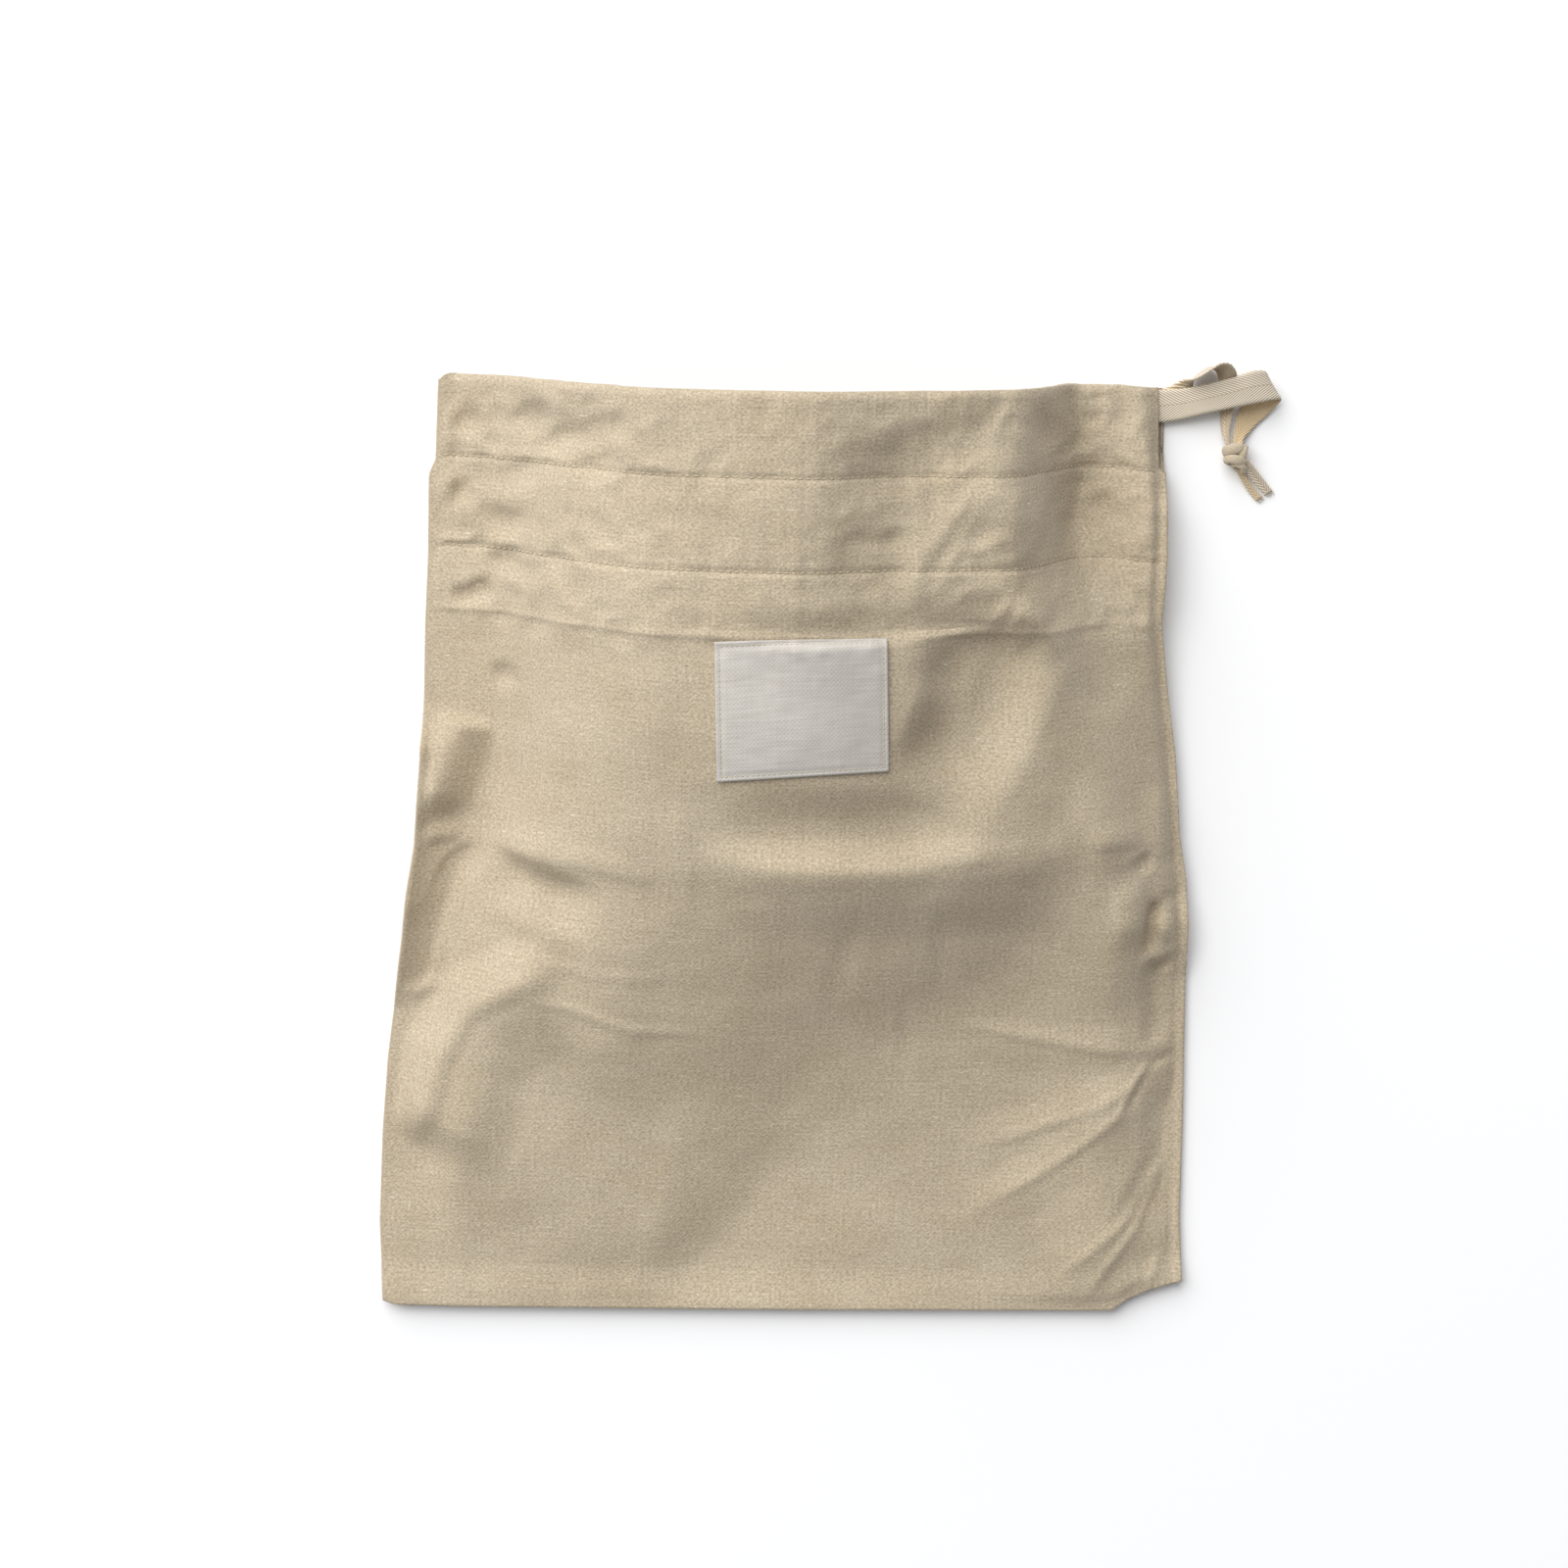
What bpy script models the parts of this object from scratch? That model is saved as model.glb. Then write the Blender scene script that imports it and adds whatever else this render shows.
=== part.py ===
# A drawstring bread bag of plain cotton cloth, lying on its back with its front panel
# standing up in a long bulge. Millimetres in the tables, metres in the mesh, +Z up,
# +Y towards the mouth. The origin is under the middle of the bag, on the surface.

import math

import bmesh
import bpy
import numpy as np
from mathutils import Vector

MM = 0.001

# The cloth, as one sheet: how thick it is, and the space kept inside where it lies flat.
CLOTH_THICK = 1.0
INSIDE_GAP = 0.8
EDGE_RADIUS = (CLOTH_THICK + INSIDE_GAP) / 2
BACK_LEVEL = CLOTH_THICK / 2
FRONT_LEVEL = BACK_LEVEL + 2 * EDGE_RADIUS

# The front panel draws back from the mouth's line by this share of its own height.
DRAW_BACK = 0.196
BACK_MOUTH_DIP = 8.0
CROWN = 77.0

# How finely the cloth is divided, and how its bottom edge rolls shut.
COLUMNS = 30
ROWS = 36
EDGE_STEPS = 3
BOTTOM_TURNS = (35.0, 70.0)

# The bag's lowest and highest y.
BOTTOM_Y = -181.5
MOUTH_Y = 181.5

# Outlines, as seen flat on the surface.
# y, left edge x, right edge x
SIDES = (
    (BOTTOM_Y, -154.8, 154.2),
    (-155.0, -156.2, 153.5),
    (-116.0, -155.1, 154.8),
    (-86.0, -153.1, 155.2),
    (-57.0, -149.7, 155.8),
    (-37.0, -147.0, 156.2),
    (-18.0, -145.0, 155.7),
    (0.0, -142.2, 153.2),
    (33.0, -139.8, 151.6),
    (61.0, -139.0, 148.2),
    (87.0, -138.6, 145.9),
    (114.0, -137.5, 147.6),
    (146.0, -137.2, 147.8),
    (152.0, -134.6, 147.8),
    (MOUTH_Y, -133.6, 148.4),
)
# x, bottom edge y, mouth edge y
ENDS = (
    (-156.0, -170.8, 175.0),
    (-154.3, -176.4, 176.0),
    (-150.0, -178.0, 177.0),
    (-133.6, -178.4, 177.4),
    (-129.0, -178.6, 181.5),
    (0.0, -180.0, 180.0),
    (127.0, -180.3, 177.6),
    (133.0, -175.9, 177.2),
    (142.0, -172.2, 176.2),
    (153.0, -169.4, 175.2),
    (156.2, -167.4, 175.0),
)
# Where the side seam is left open for the tape, and where the front panel ends there.
SLIT_FOOT_Y = 148.4
SLIT_FRONT_X = 144.6
# Beside the slit the front panel stands a little higher, over the tape: from where to
# where it rises, and how near the open edge it is still up.
SLIT_LIFT = 2.1
SLIT_LIFT_X = (108.0, 126.0)
SLIT_LIFT_Y = (128.0, 150.0)
SLIT_LIFT_INSET = 4.0

# The bulge, a row for each section: y, then x and height at the left foot, left flank,
# left shoulder, ridge, right shoulder, right flank, right foot and the strip by the seam.
BULGE = (
    (BOTTOM_Y, (-140, 0), (-118, 0), (-58, 0), (-40, 0), (45, 0), (95, 0), (118, 0), (140, 0)),
    (-168.0, (-142, 0.5), (-122, 2), (-58, 2.4), (-36, 0.5), (45, 1.5), (95, 4), (118, 6.5), (141, 2)),
    (-150.0, (-142, 1), (-124, 3.5), (-52, 6.5), (-19, 1), (45, 4), (95, 7), (118, 9.5), (142, 3.5)),
    (-120.0, (-141, 1), (-122, 8), (-46, 11.5), (0, 5), (45, 8), (95, 9), (120, 11), (143, 4.5)),
    (-97.0, (-139, 1.5), (-114, 9), (-46, 15.5), (5, 11), (45, 12), (95, 11), (122, 12), (144, 5)),
    (-70.0, (-134, 2), (-106, 12), (-56, 25), (4, 22), (45, 19), (95, 15), (123, 14), (145, 6)),
    (-35.0, (-130, 3), (-100, 19), (-55, 35), (5, 39), (50, 35.5), (100, 23.5), (123, 19), (146, 9)),
    (-8.0, (-123, 3), (-94, 25), (-51, 42), (5, 53), (52, 49), (98, 35), (121, 28), (145, 12)),
    (4.0, (-119, 2.5), (-90, 28), (-48, 46.5), (5, 59), (52, 54), (97, 41), (120, 32), (144, 12)),
    (22.0, (-113, 3.5), (-86, 30), (-44, 52.5), (5, 62.5), (52, 56), (97, 43), (120, 32), (143, 11)),
    (55.0, (-112, 6), (-82, 36), (-42, 62), (5, 70), (52, 60), (93, 48), (119, 30), (142, 8)),
    (78.0, (-114, 6), (-82, 38), (-42, 65), (5, 73), (52, 62), (91, 51), (118, 27), (142, 6)),
    (96.0, (-115, 6), (-82, 40), (-42, 67), (5, 75), (51, 62.5), (90, 52), (118, 21), (140, 4)),
    (114.0, (-116, 6), (-81, 41), (-42, 68), (5, 76), (49, 63.5), (87, 53), (117, 13), (139, 4)),
    (130.0, (-116, 6), (-80, 41), (-42, 68), (5, 77), (48, 64), (86, 53), (117, 12), (139, 4)),
    (MOUTH_Y, (-116, 6), (-80, 41), (-42, 67), (5, 76), (50, 63.5), (88, 47), (117, 11), (139, 4)),
)
BULGE_POINTS = 8

# The main folds: height (a trough is below zero), reach on the left and right of the
# path, how much of each end fades out, and the path's x, y points.
FOLDS = {
    "pressed half fold": (3.6, 16.0, 28.0, 0.45, 0.2, ((-46, -4), (5, -2), (70, -2), (114, -3))),
    "hollow under the label": (-5.5, 22.0, 14.0, 0.4, 0.3, ((-40, 18), (0, 15), (46, 14), (84, 18))),
    "hollow beside the label": (-11.0, 28.0, 24.0, 0.25, 0.3,
                                ((92, 99), (83, 78), (72, 58), (61, 40), (53, 24))),
    "left pleat": (7.0, 15.0, 12.0, 0.08, 0.3, ((-124, 50), (-128, 32), (-136, 10))),
    "left trough below the half fold": (-5.5, 13.0, 16.0, 0.3, 0.4,
                                        ((-114, -6), (-96, -13), (-66, -20))),
    "lower left ridge": (8.5, 26.0, 16.0, 0.2, 0.2,
                         ((-82, -42), (-102, -49), (-121, -60), (-132, -79), (-137, -102), (-145, -118))),
    "right crease, high": (1.6, 9.0, 14.0, 0.4, 0.2, ((58, -66), (100, -74), (142, -76))),
    "right crease, middle": (1.4, 10.0, 16.0, 0.4, 0.15,
                             ((60, -116), (102, -105), (131, -93), (144, -80))),
    "right crease, low": (1.4, 10.0, 16.0, 0.4, 0.15,
                          ((60, -148), (100, -123), (128, -102), (138, -88))),
    "corner crease": (1.0, 12.0, 14.0, 0.3, 0.3, ((148, -118), (133, -147), (104, -168))),
    "right valley": (-1.0, 10.0, 10.0, 0.3, 0.3, ((134, 0), (137, -30), (142, -70))),
    "trough across the right shoulder": (-3.4, 20.0, 26.0, 0.2, 0.3,
                                         ((58, 156), (44, 138), (33, 116), (22, 92))),
    "right swell by the seam": (1.5, 12.0, 14.0, 0.25, 0.3, ((136, 170), (136, 128), (134, 100))),
    "slope right of the hollow": (-2.0, 16.0, 16.0, 0.3, 0.3, ((134, 78), (122, 68), (114, 54))),
}
RELIEF_INSET = 7.0
# Where an edge, front and back together, curls up off the surface: y, height. The bottom
# edge curls by one height all along.
LEFT_CURL = ((-64.0, 0.0), (-45.0, 7.0), (-22.0, 11.0), (-3.0, 9.0), (6.0, 9.0), (14.0, 11.0),
             (38.0, 11.0), (47.0, 3.0), (54.0, 0.0))
RIGHT_CURL = ((-181.0, 1.5), (-110.0, 0.8), (-52.0, 1.5), (-38.0, 7.0), (-28.0, 8.0), (-18.0, 5.0),
              (40.0, 4.5), (84.0, 9.0), (100.0, 12.0), (128.0, 11.0), (146.0, 2.0), (152.0, 0.0))
BOTTOM_CURL = 3.0
LEFT_REACH = 18.0
RIGHT_REACH = 28.0
BOTTOM_REACH = 18.0

# The bare woven label, sewn on the bulge: its corners as seen from above.
LABEL_CORNERS = ((-25.0, 74.4), (38.3, 75.9), (39.0, 27.2), (-24.3, 23.3))
LABEL_THICK = 0.8
LABEL_GAP = 0.7
LABEL_COLUMNS = 14
LABEL_ROWS = 11
PLACE_STEPS = 12

# The drawstring is one flat tape. Each row of a strand is a pair of points on its two
# edges: x, y, z on the side of the mouth, then x, y, z on the other side.
TAPE_THICK = 0.9
STRAND_STEPS = 30
STRAND_UPPER = (
    (128.0, 175.2, 3.0, 128.0, 163.0, 3.0),
    (138.0, 175.2, 3.0, 138.0, 162.8, 3.0),
    (146.0, 174.9, 3.2, 146.0, 162.5, 3.1),
    (156.0, 175.6, 4.6, 153.5, 163.4, 3.8),
    (166.0, 177.4, 6.4, 162.5, 165.4, 5.6),
    (174.5, 179.6, 7.6, 171.5, 167.2, 6.9),
    (181.0, 181.7, 8.5, 180.5, 169.0, 7.4),
    (185.4, 181.9, 7.4, 188.6, 170.6, 7.0),
    (186.2, 180.6, 4.6, 192.4, 171.0, 4.8),
    (184.4, 177.6, 2.3, 190.6, 168.6, 2.4),
    (180.6, 173.0, 1.5, 187.0, 164.8, 1.4),
    (177.0, 168.0, 1.4, 183.0, 161.2, 1.3),
    (175.2, 162.4, 1.7, 180.0, 158.0, 2.0),
    (174.4, 158.4, 2.6, 178.4, 156.4, 3.0),
    (174.2, 155.2, 3.8, 177.6, 155.2, 4.0),
)
STRAND_LOWER = (
    (128.0, 175.2, 1.75, 128.0, 163.0, 1.75),
    (138.0, 175.2, 1.75, 138.0, 163.0, 1.75),
    (144.5, 175.0, 1.75, 149.5, 163.8, 1.75),
    (149.6, 176.8, 2.0, 154.4, 167.0, 1.4),
    (154.6, 179.2, 6.4, 158.0, 172.6, 1.1),
    (158.4, 181.6, 10.6, 160.4, 177.4, 0.9),
    (162.6, 184.4, 12.6, 162.6, 181.0, 0.9),
    (167.4, 186.2, 13.0, 165.8, 183.0, 0.9),
    (172.2, 185.6, 12.4, 168.2, 181.6, 1.0),
    (175.2, 182.8, 9.2, 169.4, 178.6, 1.1),
    (175.4, 179.0, 4.8, 169.6, 175.0, 1.1),
    (174.9, 173.0, 3.8, 169.5, 170.6, 1.1),
    (174.2, 167.0, 3.6, 169.4, 165.8, 1.2),
    (173.2, 162.0, 3.6, 169.6, 161.4, 1.5),
    (172.6, 158.4, 4.0, 170.0, 158.2, 2.4),
    (172.8, 155.2, 4.2, 171.0, 155.2, 3.4),
)
KNOT_CENTRE = (174.6, 149.0, 4.5)
KNOT_RADII = (5.1, 5.2, 4.4)
KNOT_RIDGES = 5
KNOT_RIDGE_DEPTH = 0.07
KNOT_RIDGE_SLANT = 0.35
TAIL_STEPS = 8
TAIL_RIGHT = (
    (181.0, 147.2, 4.6, 178.6, 144.6, 4.0),
    (183.6, 144.6, 3.4, 181.0, 141.8, 2.8),
    (187.0, 140.6, 2.0, 184.2, 138.0, 1.5),
    (190.0, 136.8, 1.0, 187.2, 134.6, 0.8),
)
TAIL_LEFT = (
    (177.6, 143.6, 3.2, 175.2, 142.6, 2.6),
    (179.8, 140.6, 2.2, 177.4, 138.6, 1.9),
    (182.8, 137.0, 1.2, 180.2, 134.6, 1.1),
    (185.6, 133.8, 0.8, 182.8, 131.4, 0.8),
)

# name: colour, roughness
FINISHES = {
    "cotton cloth": ((0.56, 0.46, 0.34, 1.0), 0.9),
    "woven label": ((0.70, 0.66, 0.60, 1.0), 0.85),
    "twill tape": ((0.72, 0.64, 0.52, 1.0), 0.85),
}


def smooth(t):
    """A soft step from 0 to 1."""
    t = np.clip(t, 0.0, 1.0)
    return t * t * (3.0 - 2.0 * t)


def column(table, index):
    """One named column of a table, as an array."""
    return np.array([row[index] for row in table], float)


def side_x(y, index):
    """The left (index 1) or right (index 2) edge at y."""
    return np.interp(y, column(SIDES, 0), column(SIDES, index))


def end_y(x, index):
    """The bottom (index 1) or mouth (index 2) edge at x."""
    return np.interp(x, column(ENDS, 0), column(ENDS, index))


def table_curve(place, places, values):
    """A smooth curve through a table's values, read at each place."""
    places = np.asarray(places, float)
    values = np.asarray(values, float)
    slopes = np.gradient(values, places)
    i = np.clip(np.searchsorted(places, place) - 1, 0, len(places) - 2)
    gap = places[i + 1] - places[i]
    t = np.clip((place - places[i]) / gap, 0.0, 1.0)
    return (values[i] * (1 + 2 * t) * (1 - t) ** 2 + values[i + 1] * t * t * (3 - 2 * t)
            + gap * (slopes[i] * t * (1 - t) ** 2 - slopes[i + 1] * t * t * (1 - t)))


def bulge_height(x, y):
    """The bulge's height: a smooth monotone curve through each section's points."""
    rows = column(BULGE, 0)
    knots = []
    heights = []
    for index in range(1, BULGE_POINTS + 1):
        knots.append(table_curve(y, rows, [row[index][0] for row in BULGE]))
        heights.append(table_curve(y, rows, [row[index][1] for row in BULGE]))
    knots = [side_x(y, 1) - 1.0] + knots + [np.maximum(side_x(y, 2), knots[-1] + 4.0) + 1.0]
    heights = [np.zeros_like(x)] + heights + [np.zeros_like(x)]
    steps = [knots[i + 1] - knots[i] for i in range(BULGE_POINTS + 1)]
    rises = [(heights[i + 1] - heights[i]) / steps[i] for i in range(BULGE_POINTS + 1)]
    tangents = [np.zeros_like(x)]
    for i in range(BULGE_POINTS):
        product = rises[i] * rises[i + 1]
        total = rises[i] + rises[i + 1]
        safe = np.where(np.abs(total) < 1e-9, 1.0, total)
        tangents.append(np.where(product > 0, 2.0 * product / safe, 0.0))
    tangents.append(np.zeros_like(x))
    height = np.zeros_like(x)
    for i in range(BULGE_POINTS + 1):
        t = np.clip((x - knots[i]) / steps[i], 0.0, 1.0)
        value = (
            heights[i] * (1 + 2 * t) * (1 - t) ** 2
            + heights[i + 1] * t * t * (3 - 2 * t)
            + steps[i] * (tangents[i] * t * (1 - t) ** 2 - tangents[i + 1] * t * t * (1 - t))
        )
        height = np.where((x >= knots[i]) & (x <= knots[i + 1]), value, height)
    return height


def fold_height(x, y, fold):
    """One fold's height: its depth, dying away on both sides of its path and at its ends."""
    height, reach_left, reach_right, fade_start, fade_end, path = fold
    lengths = [math.dist(path[i], path[i + 1]) for i in range(len(path) - 1)]
    total = sum(lengths)
    nearest = np.full_like(x, 1e9)
    side = np.zeros_like(x)
    along = np.zeros_like(x)
    before = 0.0
    for (ax, ay), (bx, by), length in zip(path, path[1:], lengths):
        ux = (bx - ax) / length
        uy = (by - ay) / length
        s = np.clip((x - ax) * ux + (y - ay) * uy, 0.0, length)
        away = np.hypot(x - ax - s * ux, y - ay - s * uy)
        closer = away < nearest
        nearest = np.where(closer, away, nearest)
        side = np.where(closer, ux * (y - ay) - uy * (x - ax), side)
        along = np.where(closer, (before + s) / total, along)
        before += length
    reach = np.where(side > 0, reach_left, reach_right)
    across = np.clip(1.0 - (nearest / reach) ** 2, 0.0, 1.0) ** 2
    return height * across * smooth(along / fade_start) * smooth((1.0 - along) / fade_end)


def front_height(x, y):
    """How high the front panel's middle surface stands above its flat level."""
    relief = bulge_height(x, y)
    for fold in FOLDS.values():
        relief = relief + fold_height(x, y, fold)
    inset = np.minimum(x - side_x(y, 1), side_x(y, 2) - x)
    inset = np.minimum(inset, y - end_y(x, 1))
    relief = np.maximum(relief, 0.0) * smooth(inset / RELIEF_INSET)
    lift_x = (x - SLIT_LIFT_X[0]) / (SLIT_LIFT_X[1] - SLIT_LIFT_X[0])
    lift_y = (y - SLIT_LIFT_Y[0]) / (SLIT_LIFT_Y[1] - SLIT_LIFT_Y[0])
    closed_edge = np.where(y > SLIT_FOOT_Y, 1.0, smooth(inset / SLIT_LIFT_INSET))
    return relief + SLIT_LIFT * smooth(lift_x) * smooth(lift_y) * closed_edge


def edge_curl(x, y):
    """How far both panels curl up off the surface near the closed edges."""
    curl = np.zeros_like(x)
    sides = ((LEFT_CURL, x - side_x(y, 1), LEFT_REACH), (RIGHT_CURL, side_x(y, 2) - x, RIGHT_REACH))
    for table, inset, reach in sides:
        rise = np.interp(y, column(table, 0), column(table, 1))
        curl = curl + rise * smooth(1.0 - inset / reach)
    bottom = BOTTOM_CURL * smooth(1.0 - (y - end_y(x, 1)) / BOTTOM_REACH)
    return np.maximum(curl, bottom)


def seen_front(x, y):
    """The front panel's middle surface at flat place x, y, as x, y, z."""
    height = front_height(x, y) + edge_curl(x, y)
    return x, y - DRAW_BACK * height, FRONT_LEVEL + height


def material(name):
    """A plain cloth material from the finishes table."""
    colour, roughness = FINISHES[name]
    made = bpy.data.materials.new(name)
    made.use_nodes = True
    shader = made.node_tree.nodes["Principled BSDF"]
    shader.inputs["Base Color"].default_value = colour
    shader.inputs["Roughness"].default_value = roughness
    shader.inputs["Metallic"].default_value = 0.0
    return made


def new_object(name, work, finish):
    """An object from a bmesh, without loose points, faces outward, shaded smooth."""
    loose = [vert for vert in work.verts if not vert.link_faces]
    bmesh.ops.delete(work, geom=loose, context="VERTS")
    bmesh.ops.recalc_face_normals(work, faces=work.faces)
    mesh = bpy.data.meshes.new(name)
    work.to_mesh(mesh)
    work.free()
    mesh.shade_smooth()
    mesh.materials.append(finish)
    made = bpy.data.objects.new(name, mesh)
    bpy.context.scene.collection.objects.link(made)
    return made


def from_points(points, faces):
    """A bmesh from millimetre points and the faces between them."""
    work = bmesh.new()
    verts = [work.verts.new(Vector(point) * MM) for point in points]
    for face in faces:
        work.faces.new([verts[index] for index in face])
    return work


def bag_ring(share, turn):
    """One ring of the bag: front left to right, round the edge, back, round the other edge.

    share runs from 0 at the bottom to 1 at the mouth; turn is how far the bottom edge
    has rolled, in radians.
    """
    y_middle = BOTTOM_Y + (MOUTH_Y - BOTTOM_Y) * share
    left = float(side_x(y_middle, 1))
    right = float(side_x(y_middle, 2))
    radius = EDGE_RADIUS * math.cos(turn)
    front_right = right - EDGE_RADIUS
    if y_middle > SLIT_FOOT_Y:
        front_right = SLIT_FRONT_X
    x = np.linspace(left + EDGE_RADIUS, front_right, COLUMNS + 1)
    bottom = end_y(x, 1) + EDGE_RADIUS * (1.0 - math.sin(turn))
    y = bottom + (end_y(x, 2) - bottom) * share
    px, py, pz = seen_front(x, y)
    middle = BACK_LEVEL + EDGE_RADIUS
    pz = pz - EDGE_RADIUS + radius
    ring = [(float(a), float(b), float(c)) for a, b, c in zip(px, py, pz)]
    back_x = np.linspace(right - EDGE_RADIUS, left + EDGE_RADIUS, COLUMNS // 2 + 1)
    back_bottom = end_y(back_x, 1) + EDGE_RADIUS * (1.0 - math.sin(turn))
    dip = BACK_MOUTH_DIP * bulge_height(back_x, np.full_like(back_x, MOUTH_Y)) / CROWN
    back_y = back_bottom + (end_y(back_x, 2) - dip - back_bottom) * share
    curl = edge_curl(back_x, back_bottom + (end_y(back_x, 2) - back_bottom) * share)
    back_y = back_y - DRAW_BACK * curl
    back = [(float(a), float(b), middle - radius + float(c)) for a, b, c in zip(back_x, back_y, curl)]

    def edge(first, last, sign, centre_x):
        """The points round an edge, between the front's last point and the back's."""
        points = []
        for step in range(1, EDGE_STEPS):
            part = step / EDGE_STEPS
            angle = math.pi / 2 - math.pi * part
            height = first[2] + (last[2] - first[2]) * (1 - math.sin(angle)) / 2
            y_here = first[1] + (last[1] - first[1]) * part
            points.append((centre_x + sign * radius * math.cos(angle), y_here, height))
        return points

    right_edge = edge(ring[-1], back[0], 1.0, right - EDGE_RADIUS)
    left_edge = edge(ring[0], back[-1], -1.0, left + EDGE_RADIUS)
    return ring + right_edge + back + left_edge[::-1]


def make_bag(finish):
    """The cloth bag: rings joined into a shell, closed at the bottom, given its thickness."""
    shares = [row / ROWS for row in range(ROWS + 1)]
    rings = [bag_ring(0.0, math.radians(turn)) for turn in reversed(BOTTOM_TURNS)]
    rings += [bag_ring(share, 0.0) for share in shares]
    size = len(rings[0])
    back_start = COLUMNS + EDGE_STEPS
    back_count = COLUMNS // 2
    slit_row = round((SLIT_FOOT_Y - BOTTOM_Y) / (MOUTH_Y - BOTTOM_Y) * ROWS)
    slit_level = slit_row + len(BOTTOM_TURNS)
    faces = []
    for level in range(len(rings) - 1):
        for index in range(size):
            if level >= slit_level and COLUMNS <= index < back_start:
                continue
            here = level * size + index
            beside = level * size + (index + 1) % size
            faces.append((here, here + size, beside + size, beside))
    for pair in range(back_count):
        near = back_start + back_count - pair
        faces.append((2 * pair, 2 * pair + 1, 2 * pair + 2, near - 1, near))
    faces.append(tuple(range(COLUMNS, back_start + 1)))
    faces.append((0,) + tuple(range(back_start + back_count, size)))
    points = [point for ring in rings for point in ring]
    bag = new_object("bag", from_points(points, faces), finish)
    solidify = bag.modifiers.new("cloth thickness", "SOLIDIFY")
    solidify.thickness = CLOTH_THICK * MM
    solidify.offset = 0.0
    solidify.use_even_offset = False


def slab(name, rows, thick, finish):
    """A closed sheet from a grid of middle points, thickened along the grid's normals."""
    grid = np.array(rows, float)
    count, width = grid.shape[:2]
    along = np.gradient(grid, axis=0)
    across = np.gradient(grid, axis=1)
    normal = np.cross(across, along)
    normal /= np.linalg.norm(normal, axis=2, keepdims=True)
    upper = (grid + normal * thick / 2).reshape(-1, 3)
    lower = (grid - normal * thick / 2).reshape(-1, 3)
    points = np.concatenate([upper, lower]).tolist()
    under = count * width
    faces = []
    for i in range(count - 1):
        for j in range(width - 1):
            a = i * width + j
            quad = (a, a + 1, a + width + 1, a + width)
            faces.append(quad)
            faces.append(tuple(under + k for k in reversed(quad)))
    border = list(range(width))
    border += [i * width + width - 1 for i in range(1, count)]
    border += [(count - 1) * width + j for j in range(width - 2, -1, -1)]
    border += [i * width for i in range(count - 2, 0, -1)]
    for a, b in zip(border, border[1:] + border[:1]):
        faces.append((b, a, under + a, under + b))
    new_object(name, from_points(points, faces), finish)


def surface_above(x, y):
    """The front panel's middle surface over the place x, y, found by closing in on it."""
    flat_y = y
    for _ in range(PLACE_STEPS):
        flat_y = y + DRAW_BACK * front_height(x, flat_y)
    return FRONT_LEVEL + front_height(x, flat_y)


def make_label(finish):
    """The label: a patch that follows the bulge, just clear of the cloth."""
    top_left, top_right, low_right, low_left = [Vector(corner) for corner in LABEL_CORNERS]
    rows = []
    for i in range(LABEL_ROWS + 1):
        down = i / LABEL_ROWS
        start = top_left.lerp(low_left, down)
        end = top_right.lerp(low_right, down)
        places = [start.lerp(end, j / LABEL_COLUMNS) for j in range(LABEL_COLUMNS + 1)]
        x = np.array([place.x for place in places])
        y = np.array([place.y for place in places])
        slope_x = surface_above(x + 0.5, y) - surface_above(x - 0.5, y)
        slope_y = surface_above(x, y + 0.5) - surface_above(x, y - 0.5)
        steep = np.sqrt(1.0 + slope_x ** 2 + slope_y ** 2)
        z = surface_above(x, y) + steep * (CLOTH_THICK / 2 + LABEL_GAP + LABEL_THICK / 2)
        rows.append(list(zip(x, y, z)))
    slab("label", rows, LABEL_THICK, finish)


def smooth_rows(table, steps):
    """Rows read at even steps from a smooth curve through a table's rows."""
    rows = [np.array(row, float) for row in table]
    rows = [2 * rows[0] - rows[1]] + rows + [2 * rows[-1] - rows[-2]]
    spans = len(rows) - 3
    made = []
    for step in range(steps + 1):
        place = step / steps * spans
        i = min(int(place), spans - 1)
        t = place - i
        a, b, c, d = rows[i:i + 4]
        made.append(0.5 * (2 * b + (c - a) * t + (2 * a - 5 * b + 4 * c - d) * t * t
                           + (3 * b - a - 3 * c + d) * t ** 3))
    return made


def make_ribbon(name, table, steps, finish):
    """A flat tape between its two edges."""
    rows = []
    for row in smooth_rows(table, steps):
        first = row[:3]
        last = row[3:]
        rows.append([first + (last - first) * j / 2 for j in range(3)])
    slab(name, rows, TAPE_THICK, finish)


def make_knot(finish):
    """The overhand knot: a round knob with the soft ridges of its wraps."""
    work = bmesh.new()
    bmesh.ops.create_uvsphere(work, u_segments=16, v_segments=10, radius=1.0)
    for vert in work.verts:
        x, y, z = vert.co
        wrap = math.cos(KNOT_RIDGES * (y + KNOT_RIDGE_SLANT * x))
        ridge = 1.0 - KNOT_RIDGE_DEPTH * (0.5 - 0.5 * wrap)
        vert.co = Vector((x * KNOT_RADII[0], y * KNOT_RADII[1], z * KNOT_RADII[2])) * ridge
        vert.co = (vert.co + Vector(KNOT_CENTRE)) * MM
    new_object("knot", work, finish)


def main():
    """Clear the scene and make every piece."""
    for thing in list(bpy.data.objects):
        bpy.data.objects.remove(thing, do_unlink=True)
    finishes = {name: material(name) for name in FINISHES}
    make_bag(finishes["cotton cloth"])
    make_label(finishes["woven label"])
    make_ribbon("strand_upper", STRAND_UPPER, STRAND_STEPS, finishes["twill tape"])
    make_ribbon("strand_lower", STRAND_LOWER, STRAND_STEPS, finishes["twill tape"])
    make_knot(finishes["twill tape"])
    make_ribbon("tail_right", TAIL_RIGHT, TAIL_STEPS, finishes["twill tape"])
    make_ribbon("tail_left", TAIL_LEFT, TAIL_STEPS, finishes["twill tape"])


main()
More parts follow.
